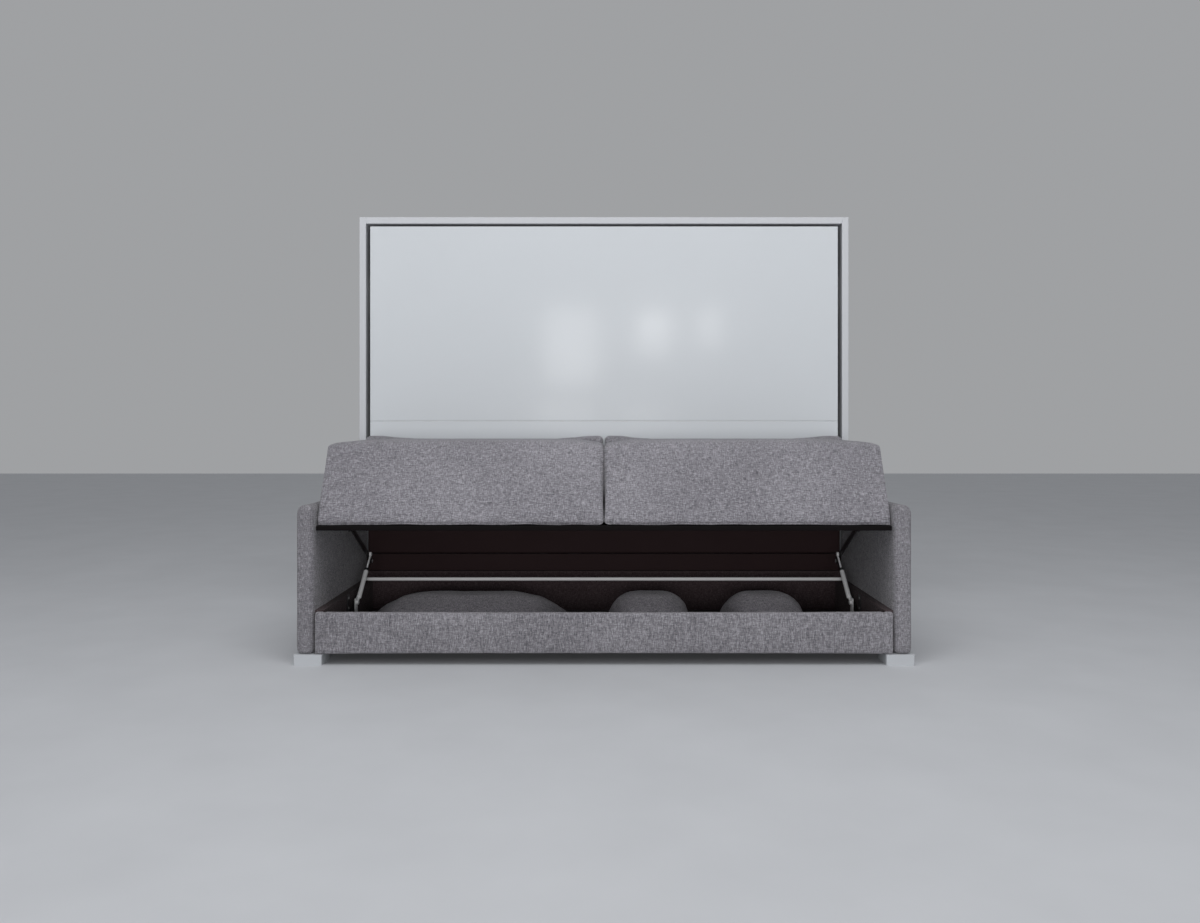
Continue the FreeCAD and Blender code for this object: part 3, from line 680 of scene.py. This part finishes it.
board_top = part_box("seat_board")[1][2]
seat_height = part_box("seat_cushion_left")[1][2] - board_top
back_low, back_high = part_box("back_cushion_left")
mat_low, mat_high = (Vector(corner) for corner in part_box("mattress"))
PILLOWS = ("pillow_large", "pillow_small_inner", "pillow_small_outer")
PILLOW_ROOM = ((0.006, 0.006, 0.0), (0.006, 0.006, 0.008))
FRONT_ROOM = ((0.0015, 0.002, 0.0), (0.0015, 0.0, 0.001))
MATTRESS_ROOM = ((0.006, 0.0, 0.006), (0.006, 0.006, 0.006))
pads = []
for word, side in SIDES:
    seat_room = sided(side, outer=0.002, seam=0.0, low=(0.005, 0.0), high=(0.002, 0.005))
    back_room = sided(side, outer=0.003, seam=0.0, low=(0.008, 0.0), high=(0.0, 0.002))
    arm_room = sided(side, outer=0.003, seam=0.001, low=(0.003, 0.0), high=(0.0, 0.003))
    pads += [Pad(f"seat_cushion_{word}", "seat", upholstery, seat_folds, seat_room, voxel=0.009,
                 cap=0.009, fill=0.8, spill=(0.003, 0.0, 0.0095)),
             Pad(f"back_cushion_{word}", "bed", upholstery, back_folds, back_room, voxel=0.009,
                 cap=0.012, fill=0.75, spill=(0.0075, 0.0, 0.005)),
             Pad(f"arm_{word}", "base", arm_cloth, arm_folds, arm_room, voxel=0.01, cap=0.0045, fill=0.95)]
pads += [Pad(node, "base", pillow_cloth, pillow_folds, PILLOW_ROOM, voxel=0.011, cap=0.014, fill=0.55)
         for node in PILLOWS]
pads += [Pad("box_front", "base", arm_cloth, front_seams, FRONT_ROOM, voxel=0.008, cap=0.003, fill=1.0),
         Pad("mattress", "bed", ticking, quilting, MATTRESS_ROOM, voxel=0.017, cap=0.008, fill=0.85,
             slot="ticking")]

for pad in pads:
    pad.add_cloth()
for number in range(1, SIM_FRAMES + 1):
    scene.frame_set(number)
ends = [pad.blown_up() for pad in pads]
covers = {pad.node: pad.finish(places) for pad, places in zip(pads, ends)}
scene.frame_set(1)

# Boards
for word, side in SIDES:
    board(f"cabinet_side_{word}", "base", satin_white, "matt_white")
    board(f"box_side_{word}", "base", lining, "box_lining", ease=0.0006)
board("cabinet_top", "base", satin_white, "matt_white")
# The plinth takes the black board painted with the inside's shade
board("cabinet_plinth", "base", shadow_board, "black_board")
board("bed_panel_lower", "bed", gloss_front, "gloss_white")
board("bed_panel_upper", "bed", gloss_front, "gloss_white")
# The back apron takes the black board painted with the inside's shade
board("back_apron", "bed", shadow_board, "black_board")
board("box_rear", "base", lining, "box_lining")
board("box_floor", "base", lining, "box_lining")
board("seat_board", "seat", black_board, "black_board", bevel=0.002)


# What repeats: stitches, screws and slats, each by a geometry tree
class Repeat(Nodes):
    """A geometry tree that puts one shape on every point of a mesh and gives it a finish."""

    def __init__(self, name, sizes):
        self.tree = bpy.data.node_groups.new(name, "GeometryNodeTree")
        self.socket("Points", "INPUT", "Geometry")
        for size in sizes:
            self.socket(size, "INPUT", "Float")
        self.socket("Finish", "INPUT", "Material")
        self.socket("Geometry", "OUTPUT", "Geometry")
        self.given = self.tree.nodes.new("NodeGroupInput")

    def socket(self, name, side, kind):
        self.tree.interface.new_socket(name, in_out=side, socket_type=f"NodeSocket{kind}")

    def given_by(self, name):
        return Value(self, self.given.outputs[name])

    def vector(self, x, y, z):
        return self.node("ShaderNodeCombineXYZ", inputs={0: x, 1: y, 2: z})

    def close(self, shape):
        """Ends the tree: the shape on every point, made real and painted."""
        turn = self.node("GeometryNodeInputNamedAttribute", {"data_type": "FLOAT_VECTOR"},
                         {"Name": "turn"})
        turned = self.node("FunctionNodeEulerToRotation", inputs={0: turn})
        placed = self.node("GeometryNodeInstanceOnPoints", inputs={
            "Points": self.given_by("Points"), "Instance": shape, "Rotation": turned})
        real = self.node("GeometryNodeRealizeInstances", inputs={0: placed})
        painted = self.node("GeometryNodeSetMaterial", inputs={
            0: real, "Material": self.given_by("Finish")})
        out = self.tree.nodes.new("NodeGroupOutput")
        self.feed(out.inputs[0], painted)
        return self

    def piece(self, name, spots, material, body, slot, *nodes, **sizes):
        """Spots are pairs of a place and the way that the shape's own Z takes there."""
        mesh = bpy.data.meshes.new(name)
        mesh.from_pydata([place for place, way in spots], [], [])
        turns = mesh.attributes.new("turn", "FLOAT_VECTOR", "POINT")
        for item, (place, way) in zip(turns.data, spots):
            item.vector = Vector(way).to_track_quat("Z", "Y").to_euler()
        made = new_piece(name, mesh)
        modifier = made.modifiers.new("repeat", "NODES")
        modifier.node_group = self.tree
        given = {"Finish": material, **sizes}
        for socket in self.tree.interface.items_tree:
            if socket.name in given:
                modifier[socket.identifier] = given[socket.name]
        plain_mesh(made)
        finish_piece(made, material, body, slot, *nodes)


def stitch_tree():
    """A stitch: a short plump bead of thread that lies along its row."""
    tree = Repeat("stitches", ("Length", "Thickness"))
    bead = tree.node("GeometryNodeMeshUVSphere", inputs={"Segments": 6, "Rings": 5, "Radius": 0.5})
    thick = tree.given_by("Thickness")
    stretch = tree.vector(thick, thick, tree.given_by("Length"))
    return tree.close(tree.node("GeometryNodeTransform", inputs={"Geometry": bead, "Scale": stretch}))


HEAD_CORNERS = 14
TOP_FACING = 0.9
SOCKET_WIDTH = 0.52
SOCKET_DEPTH = 0.6
SLAT_ROUNDING = 0.42


def screw_tree():
    """A pan-head screw with a socket sunk in its top."""
    tree = Repeat("screws", ("Radius", "Height"))
    height = tree.given_by("Height")
    head = tree.node("GeometryNodeMeshCylinder", inputs={
        "Vertices": HEAD_CORNERS, "Radius": tree.given_by("Radius"), "Depth": height})
    on_top = tree.parts(tree.node("GeometryNodeInputNormal"))[2].above(TOP_FACING)
    rim = tree.node("GeometryNodeExtrudeMesh", {"mode": "FACES"},
                    {"Mesh": head, "Selection": on_top, "Offset Scale": 0.0}).socket.node
    top = Value(tree, rim.outputs["Top"])
    inner = tree.node("GeometryNodeScaleElements", inputs={
        "Geometry": Value(tree, rim.outputs["Mesh"]), "Selection": top, "Scale": SOCKET_WIDTH})
    return tree.close(tree.node("GeometryNodeExtrudeMesh", {"mode": "FACES"}, {
        "Mesh": inner, "Selection": top, "Offset Scale": height * -SOCKET_DEPTH}))


def slat_tree():
    """A bent slat: a rounded flat section drawn along its length."""
    tree = Repeat("slats", ("Width", "Thickness", "Length"))
    section = tree.node("GeometryNodeCurvePrimitiveQuadrilateral",
                        inputs={0: tree.given_by("Width"), 1: tree.given_by("Thickness")})
    eased = tree.node("GeometryNodeFilletCurve", {"mode": "POLY"},
                      {"Curve": section, "Count": 3, "Radius": tree.given_by("Thickness") * SLAT_ROUNDING})
    half = tree.given_by("Length") * 0.5
    run = tree.node("GeometryNodeCurvePrimitiveLine", inputs={
        "Start": tree.vector(0.0, 0.0, half * -1.0), "End": tree.vector(0.0, 0.0, half)})
    return tree.close(tree.node("GeometryNodeCurveToMesh", inputs={
        "Curve": run, "Profile Curve": eased, "Fill Caps": True}))


stitches = stitch_tree()
screws = screw_tree()
slats = slat_tree()


def surface(piece):
    """A piece's faces, ready for straight lines to be cast at them."""
    return BVHTree.FromPolygons([vertex.co for vertex in piece.data.vertices],
                                [polygon.vertices for polygon in piece.data.polygons])


def hits(tree, starts, way):
    """Where straight lines from a row of starts first meet a surface."""
    found = [tree.ray_cast(Vector(start), Vector(way))[0] for start in starts]
    return [place for place in found if place is not None]


def steps(start, end, pitch):
    """Evenly spaced numbers from start to end, about a pitch apart."""
    count = max(1, round(abs(end - start) / pitch))
    return [start + (end - start) * index / count for index in range(count + 1)]


UP = (0.0, 0.0, 1.0)
DOWN = (0.0, 0.0, -1.0)
INWARD = (0.0, 1.0, 0.0)

# Slats in black holders
SLAT_COUNT = 14
SLAT_WIDTH = 0.068
SLAT_DEPTH = 0.01
SLAT_END_GAP = 0.002
HOLDER_LENGTH = 0.034
HOLDER_DROP = 0.001
HOLDER_EXTRA = (0.006, 0.0018)
slat_low, slat_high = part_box("bed_slats")
slat_y = (slat_low[1] + slat_high[1]) / 2
slat_z = (slat_low[2] + slat_high[2]) / 2
slat_xs = steps(slat_low[0] + SLAT_WIDTH / 2, slat_high[0] - SLAT_WIDTH / 2,
                (slat_high[0] - slat_low[0] - SLAT_WIDTH) / (SLAT_COUNT - 1))
slats.piece("slat_set", [((x, slat_y, slat_z), UP) for x in slat_xs], birch, "bed", "birch", "bed_slats",
            Width=SLAT_WIDTH, Thickness=SLAT_DEPTH, Length=slat_high[2] - slat_low[2] - 2 * SLAT_END_GAP)
holder_zs = (slat_low[2] + HOLDER_LENGTH / 2, slat_high[2] - HOLDER_LENGTH / 2)
holder_spots = [((x, slat_y - HOLDER_DROP, z), UP) for x in slat_xs for z in holder_zs]
slats.piece("slat_holders", holder_spots, cap_plastic, "bed", "grey_feet", Length=HOLDER_LENGTH,
            Width=SLAT_WIDTH + HOLDER_EXTRA[0], Thickness=SLAT_DEPTH + HOLDER_EXTRA[1])

# Straps that lie on the mattress, each with a buckle, and the tape round its two edges
STRAP_X = 0.62
STRAP_WIDTH = 0.045
STRAP_THICKNESS = 0.002
STRAP_LIFT = 0.0003
STRAP_START = 0.006
STRAP_TURN = 0.02
STRAP_PITCH = 0.02
STRAP_STEPS = 8
STRAP_REACH = 6
STRAP_FEELERS = (-0.018, 0.0, 0.018)
FEEL_FROM = 0.2
CAST_FROM = 0.3
CORNER_STEPS = 4
TAPE_RADIUS = 0.0045
TAPE_INSET = 0.011
TAPE_CORNER = 0.05
TAPE_CORE = 0.06
TAPE_PITCH = 0.02
BUCKLE_HALF = (0.031, 0.019)
BUCKLE_CORNER = 0.006
BUCKLE_WIRE = 0.0024
bed_cloth = surface(covers["mattress"])
mat_middle = (mat_low + mat_high) / 2


def outward_hit(inside, way):
    """Where the mattress's surface lies outward of a place inside it."""
    return hits(bed_cloth, [inside + way * CAST_FROM], [-part for part in way])[0]


def strap_line(x):
    """The strap's run under, behind and over the mattress, drawn straight over the quilting's dips."""
    front = mat_low.y + STRAP_START
    deep = mat_high.y - STRAP_TURN
    bottom = mat_low.z + STRAP_TURN
    top = mat_high.z - STRAP_TURN
    shares = [index / STRAP_STEPS for index in range(STRAP_STEPS + 1)]
    angles = [share * math.pi / 2 for share in shares[1:-1]]
    run = [(front + (deep - front) * share, bottom, DOWN) for share in shares]
    run += [(deep, bottom, (0.0, math.sin(angle), -math.cos(angle))) for angle in angles]
    run += [(deep, z, INWARD) for z in steps(bottom, top, STRAP_PITCH)]
    run += [(deep, top, (0.0, math.cos(angle), math.sin(angle))) for angle in angles]
    run += [(deep + (front - deep) * share, top, UP) for share in shares]
    reaches = []
    for y, z, way in run:
        starts = [Vector((x + shift, y, z)) + Vector(way) * FEEL_FROM for shift in STRAP_FEELERS]
        met = hits(bed_cloth, starts, [-part for part in way])
        reaches.append(max((Vector((x, place.y, place.z)) - Vector((x, y, z))).length for place in met))
    line = []
    for index, (y, z, way) in enumerate(run):
        first = max(0, index - STRAP_REACH)
        near = reaches[first:index + STRAP_REACH + 1]
        alike = [reach for reach, place in zip(near, run[first:]) if place[2] == way]
        line.append((Vector((x, y, z)), Vector(way), max(alike)))
    return line


def band(name, line):
    """A flat band with a thickness along a line of places, ways and reaches."""
    shape = bmesh.new()
    section = ((-1, STRAP_LIFT), (1, STRAP_LIFT), (1, STRAP_THICKNESS), (-1, STRAP_THICKNESS))
    rows = []
    for place, way, reach in line:
        row = []
        for across, lift in section:
            corner = place + way * (reach + lift) + Vector((across * STRAP_WIDTH / 2, 0.0, 0.0))
            row.append(shape.verts.new(corner))
        rows.append(row)
    for first, second in zip(rows, rows[1:]):
        for side in range(4):
            after = (side + 1) % 4
            shape.faces.new((first[side], first[after], second[after], second[side]))
    shape.faces.new(rows[0])
    shape.faces.new(rows[-1])
    return new_piece(name, mesh_from(shape, name))


def wire(name, lines, thickness):
    """Round wire along closed lines of places, as a plain mesh."""
    curve = bpy.data.curves.new(name, "CURVE")
    curve.dimensions = "3D"
    curve.bevel_depth = thickness
    curve.bevel_resolution = 2
    for places in lines:
        spline = curve.splines.new("POLY")
        spline.points.add(len(places) - 1)
        for point, place in zip(spline.points, places):
            point.co = (*place, 1.0)
        spline.use_cyclic_u = True
    drawn = new_piece(f"{name}_curve", curve)
    bpy.context.view_layer.update()
    mesh = bpy.data.meshes.new_from_object(evaluated(drawn))
    bpy.data.objects.remove(drawn)
    smooth(mesh)
    return new_piece(name, mesh)


def rounded_frame(middle, half_width, half_height, radius):
    """A closed line in the plane X, Z: a rectangle with round corners."""
    places = []
    for turn, (across, up) in enumerate(((1, 1), (-1, 1), (-1, -1), (1, -1))):
        centre_x = middle[0] + across * (half_width - radius)
        centre_z = middle[2] + up * (half_height - radius)
        for index in range(CORNER_STEPS + 1):
            angle = (turn + index / CORNER_STEPS) * math.pi / 2
            places.append(Vector((centre_x + radius * math.cos(angle), middle[1],
                                  centre_z + radius * math.sin(angle))))
    return places


buckle_lines = []
for word, side in SIDES:
    line = strap_line(side * STRAP_X)
    strap = band(f"strap_{word}", line)
    finish_piece(strap, webbing, "bed", "webbing", *(("mattress_straps",) if side < 0 else ()))
    place, way, reach = min(line, key=lambda entry: abs(entry[0].z - mat_middle.z))
    middle = place + way * (reach + STRAP_THICKNESS + BUCKLE_WIRE)
    buckle_lines.append(rounded_frame(middle, *BUCKLE_HALF, BUCKLE_CORNER))
buckles = wire("strap_buckles", buckle_lines, BUCKLE_WIRE)
finish_piece(buckles, bright_steel, "bed", "bright_steel")

tape_lines = []
for y in (mat_low.y + TAPE_INSET, mat_high.y - TAPE_INSET):
    outline = rounded_frame((mat_middle.x, y, mat_middle.z), (mat_high.x - mat_low.x) / 2,
                            (mat_high.z - mat_low.z) / 2, TAPE_CORNER)
    tape = []
    for first, second in zip(outline, outline[1:] + outline[:1]):
        for share in steps(0.0, 1.0, TAPE_PITCH / max(TAPE_PITCH, (second - first).length))[:-1]:
            place = first.lerp(second, share)
            inner = Vector((max(mat_low.x + TAPE_CORE, min(mat_high.x - TAPE_CORE, place.x)), y,
                            max(mat_low.z + TAPE_CORE, min(mat_high.z - TAPE_CORE, place.z))))
            tape.append(outward_hit(inner, (place - inner).normalized()))
    tape_lines.append(tape)
finish_piece(wire("mattress_tape", tape_lines, TAPE_RADIUS), ticking, "bed", "ticking")

# Screws, rivet heads, glands and caps; places are given as Y and Z
LIFT_Y = -0.272
KNEE = (0.051, 0.2715)
GAS_FOOT = (-0.23, 0.15)
GAS_TOP = (-0.02, 0.309)
PIVOT = (0.234, 0.575)
EYE_RIM = 0.0075
INNER = 1
OUTER = -1
INNER_START = 0.5
OUTER_START = 1.5
LIFT_SCREWS = tuple((LIFT_Y, z) for z in (0.068, 0.136, 0.174))
LID_SCREWS = tuple((LIFT_Y + y, 0.464) for y in (-0.01, 0.01))
FOOT_SCREWS = tuple((GAS_FOOT[0], z) for z in (0.066, 0.092))
PLATE_CORNERS = tuple((PIVOT[0] + y, PIVOT[1] + z) for y in (-0.024, 0.024) for z in (-0.024, 0.024))
RAIL_ENDS = tuple((y, z) for y in (0.208, 0.25) for z in (0.322, 1.65))
CAP_PLACES = tuple((y, 1.73) for y in (0.222, 0.397, 0.572)) + (
    (0.613, 1.6), (0.613, 1.68), (0.613, 0.17), (0.613, 0.25), (0.183, 0.07), (0.183, 0.22))

# Name, body, node, facing, places, aside, radius, height
HEADS = (
    ("lift_rivets", "base", "lift_base", INNER, ((LIFT_Y, 0.1),), 0.0, 0.0075, 0.0016),
    ("lift_screws", "base", "lift_base", INNER, LIFT_SCREWS, 0.0, 0.0048, 0.003),
    ("lid_rivets", "seat", "lid_bracket", INNER, ((LIFT_Y, 0.443),), 0.0, 0.0075, 0.0016),
    ("lid_screws", "seat", "lid_bracket", INNER, LID_SCREWS, 0.0, 0.0038, 0.0024),
    ("knee_rivets", "upper_arms", "upper_arm", INNER, (KNEE,), EYE_RIM, 0.0085, 0.0022),
    ("gas_foot_rivets", "base", "gas_foot", INNER, (GAS_FOOT,), 0.0, 0.006, 0.0018),
    ("gas_foot_screws", "base", "gas_foot", INNER, FOOT_SCREWS, 0.0, 0.0042, 0.0026),
    ("gas_top_rivets", "seat_rods", "gas_rod", INNER, (GAS_TOP,), 0.0, 0.005, 0.0016),
    ("plate_screws", "base", "pivot_plate", INNER, PLATE_CORNERS, 0.0, 0.005, 0.0032),
    ("rail_screws", "bed", "bed_side_rail", OUTER, RAIL_ENDS, 0.0, 0.005, 0.0024),
)


def head_spots(node, facing, places, aside):
    """Places on the inner or outer face of a pair of nodes; aside keeps clear of an open eye."""
    spots = []
    for word, side in SIDES:
        tree = surface(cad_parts[f"{node}_{word}"])
        start_x = side * (INNER_START if facing == INNER else OUTER_START)
        for y, z in places:
            place = hits(tree, [(start_x, y + aside, z)], (facing * side, 0.0, 0.0))[0]
            spots.append(((place.x, y, z), (-facing * side, 0.0, 0.0)))
    return spots


for name, body, node, facing, places, aside, radius, height in HEADS:
    spots = head_spots(node, facing, places, aside)
    screws.piece(name, spots, bright_steel, body, "bright_steel", Radius=radius, Height=height)

cabinet_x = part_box("cabinet_side_right")[1][0]
cap_spots = [((side * cabinet_x, y, z), (side, 0.0, 0.0)) for word, side in SIDES for y, z in CAP_PLACES]
screws.piece("joint_caps", cap_spots, foot_plastic, "base", "grey_feet", Radius=0.0065, Height=0.0012)

# Name, body, X, place, the cylinder's way, radius, height
GLANDS = (("seat_glands", "seat_cylinders", 0.965, (-0.0921, 0.2545), (0.797, 0.604), 0.0096, 0.012),
          ("bed_glands", "bed_cylinders", 1.016, (0.3098, 0.9553), (-0.1047, -0.9945), 0.0108, 0.018))
for name, body, x, (y, z), (run_y, run_z), radius, height in GLANDS:
    gland_spots = [((side * x, y, z), (0.0, run_y, run_z)) for word, side in SIDES]
    screws.piece(name, gland_spots, cap_plastic, body, "dark_steel", Radius=radius, Height=height)

# Painted shade: dark strips beside the dark back board and behind its lower edge, which stand in for the
# shade in the gaps there
GAP_SHADE_NEAR = 0.0002
GAP_SHADE_FAR = 0.0055
STRIP_INSET = 0.0005
STRIP_BEVEL = 0.0008
SLIT_SHADE_Y = (0.246, 0.25)
SLIT_SHADE_Z = (0.2, 0.2815)
apron_low, apron_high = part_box("back_apron")
for word, side in SIDES:
    near, far = sorted((side * (apron_high[0] + GAP_SHADE_NEAR), side * (apron_high[0] + GAP_SHADE_FAR)))
    gap_shade_strip = block(f"apron_painted_shade_{word}", (near, apron_low[1] + STRIP_INSET, apron_low[2] + STRIP_INSET),
                 (far, apron_high[1] - STRIP_INSET, apron_high[2] - STRIP_INSET), STRIP_BEVEL)
    finish_piece(gap_shade_strip, shadow_board, "bed", "black_board")
plinth_low, plinth_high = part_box("cabinet_plinth")
# Painted shade: this dark strip stands in for the shade seen through the slit
slit_painted_shade = block("slit_painted_shade", (plinth_low[0] + STRIP_INSET, SLIT_SHADE_Y[0], SLIT_SHADE_Z[0]),
                   (plinth_high[0] - STRIP_INSET, SLIT_SHADE_Y[1], SLIT_SHADE_Z[1]), STRIP_BEVEL)
finish_piece(slit_painted_shade, shadow_board, "base", "black_board")

# A tongue that closes the joint between the two boards of the bed's front
JOINT_GAP = 0.0002
TONGUE_INSET = 0.001
TONGUE_SETBACK = 0.0012
panel_low, panel_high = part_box("bed_panel_lower")
joint_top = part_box("bed_panel_upper")[0][2] - JOINT_GAP
tongue = block("panel_tongue",
               (panel_low[0] + TONGUE_INSET, panel_low[1] + TONGUE_SETBACK, panel_high[2] + JOINT_GAP),
               (panel_high[0] - TONGUE_INSET, panel_high[1] - TONGUE_INSET, joint_top), JOINT_GAP)
finish_piece(tongue, satin_white, "bed", "matt_white")

# Rows of stitches
STITCH_PITCH = 0.0065
STITCH_LENGTH = 0.0047
STITCH_THICKNESS = 0.0013
ROW_INSET = 0.011
FRONT_ROW_INSET = 0.009
FRONT_ROW_Z = (0.044, 0.186)
PILLOW_SEAM = 0.45
FAR = 3.0


def pitched(start, end):
    return steps(start, end, STITCH_PITCH)


def stitch_row(node, starts, way):
    """Stitches along the line where a row of straight lines meets a cover."""
    places = hits(surface(covers[node]), starts, way)
    return [((first + second) / 2, second - first) for first, second in zip(places, places[1:])
            if (second - first).length < 2 * STITCH_PITCH]


def sew(name, body, spots):
    stitches.piece(name, spots, thread, body, "upholstery", Length=STITCH_LENGTH,
                   Thickness=STITCH_THICKNESS)


front_spots = []
seat_spots = []
arm_spots = []
pillow_spots = []
hem_z = board_top + ROW_INSET
for word, side in SIDES:
    x = side * (BOX_SEAM_X - FRONT_ROW_INSET)
    front_spots += stitch_row("box_front", [(x, -FAR, z) for z in pitched(*FRONT_ROW_Z)], INWARD)
    node = f"seat_cushion_{word}"
    low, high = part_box(node)
    seat_spots += stitch_row(node, [(x, -FAR, hem_z) for x in pitched(low[0], high[0])], INWARD)
    seat_spots += stitch_row(node, [(side * FAR, y, hem_z) for y in pitched(low[1], high[1])],
                             (-side, 0.0, 0.0))
    node = f"arm_{word}"
    low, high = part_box(node)
    for x in (low[0] + ROW_INSET, high[0] - ROW_INSET):
        arm_spots += stitch_row(node, [(x, -FAR, z) for z in pitched(low[2], high[2] - ROW_INSET)], INWARD)
        arm_spots += stitch_row(node, [(x, y, FAR) for y in pitched(low[1] + ROW_INSET, high[1])], DOWN)
for node in PILLOWS:
    low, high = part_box(node)
    seam_z = low[2] + PILLOW_SEAM * (high[2] - low[2])
    pillow_spots += stitch_row(node, [(x, -FAR, seam_z) for x in pitched(low[0], high[0])], INWARD)
sew("box_front_stitches", "base", front_spots)
sew("seat_stitches", "seat", seat_spots)
sew("arm_stitches", "base", arm_spots)
sew("pillow_stitches", "base", pillow_spots)

# Pieces that keep their solid
KEPT = (
    (dark_steel, ("lower_arm", "upper_arm", "lid_bracket", "lift_base", "bed_side_rail", "bed_rail",
                  "bed_cylinder")),
    (bright_steel, ("pivot_plate", "spring_stud")),
    # The tubes take the silver lightened to stand in for light
    (lightened_silver_tube, ("gas_cylinder", "gas_rod", "gas_foot", "cross_tube")),
    (polished_rod, ("bed_rod",)),
    (foot_plastic, ("foot_",)),
    (satin_white, ("wall_rail_upper",)),
    # Painted shade: the lower wall rail is a white rail, given the black board so that it reads as shade
    # through the slit
    (black_board, ("wall_rail_lower",)),
)
for material, starts in KEPT:
    for name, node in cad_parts.items():
        if name.startswith(starts):
            node.data.materials.clear()
            node.data.materials.append(material)

# Camera
camera_data = bpy.data.cameras.new("camera")
camera_data.sensor_fit = "HORIZONTAL"
camera_data.sensor_width = SENSOR
camera_data.lens = SENSOR * FOCAL_PIXELS / PHOTO_WIDTH
camera_data.shift_x = (PHOTO_WIDTH / 2 - CENTRE_COLUMN) / PHOTO_WIDTH
camera_data.shift_y = -(PHOTO_HEIGHT / 2 - HORIZON_ROW) / PHOTO_WIDTH
camera = new_piece("camera", camera_data)
camera.location = (0.0, cad_low[1] - CAMERA_STANDOFF, CAMERA_HEIGHT)
camera.rotation_euler = (math.pi / 2, 0.0, 0.0)
scene.camera = camera

# Floor and light
FLOOR_REACH = 12.0
WORLD_STRENGTH = 0.4
ground = Finish("pale_floor")
speck = ground.clouds(3.0, detail=3.0)
ground.set(Base_Color=ground.blend(speck, paint(192, 194, 198), paint(203, 205, 209)), Roughness=0.8)
floor_mesh = bpy.data.meshes.new("floor")
floor_corners = ((-1, -1), (1, -1), (1, 1), (-1, 1))
floor_mesh.from_pydata([(x * FLOOR_REACH, y * FLOOR_REACH, 0.0) for x, y in floor_corners], [],
                       [(0, 1, 2, 3)])
floor_mesh.materials.append(ground.material)
floor = new_piece("floor", floor_mesh)
floor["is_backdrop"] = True

world = bpy.data.worlds.new("studio")
world.use_nodes = True
sky = world.node_tree.nodes["Background"]
sky.inputs["Color"].default_value = (*paint(240, 242, 245), 1.0)
sky.inputs["Strength"].default_value = WORLD_STRENGTH
scene.world = world
scene.view_settings.view_transform = "Standard"


def soft_lamp(name, place, target, width, height, power):
    """A flat lamp that the camera doesn't see."""
    lamp = bpy.data.lights.new(name, "AREA")
    lamp.shape = "RECTANGLE"
    lamp.size = width
    lamp.size_y = height
    lamp.energy = power
    holder = new_piece(name, lamp)
    holder.location = place
    holder.rotation_euler = (Vector(target) - Vector(place)).to_track_quat("-Z", "Y").to_euler()
    holder.visible_camera = False
    return holder


# Name, place, target, width, height, watts
LAMPS = (
    ("overhead", (0.0, -2.2, 4.2), (0.0, -0.2, 0.4), 3.6, 2.4, 75.0),
    ("front_left", (-3.4, -4.6, 2.6), (-0.2, 0.0, 0.7), 2.2, 2.2, 23.0),
    ("front_right", (3.6, -4.4, 2.2), (0.2, 0.0, 0.7), 2.0, 2.0, 21.0),
)
for lamp in LAMPS:
    soft_lamp(*lamp)
low_fill = soft_lamp("low_fill", (0.0, -6.0, 0.75), (0.0, 0.0, 0.3), width=2.4, height=0.8, power=90.0)
low_fill.visible_glossy = False

# Lamps that the gloss front mirrors: X, Z, width, height, watts
WINDOW_Y = -8.0
WINDOWS = ((-0.42, 1.82, 0.66, 0.95, 5.0), (0.64, 2.02, 0.42, 0.52, 2.8), (1.36, 2.08, 0.26, 0.46, 1.4),
           (-0.5, 0.98, 0.8, 0.2, 1.2), (0.5, 0.96, 0.5, 0.14, 0.6))
for index, (x, z, width, height, power) in enumerate(WINDOWS):
    soft_lamp(f"window_{index}", (x, WINDOW_Y, z), (x, 0.0, z), width, height, power)

low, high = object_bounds()
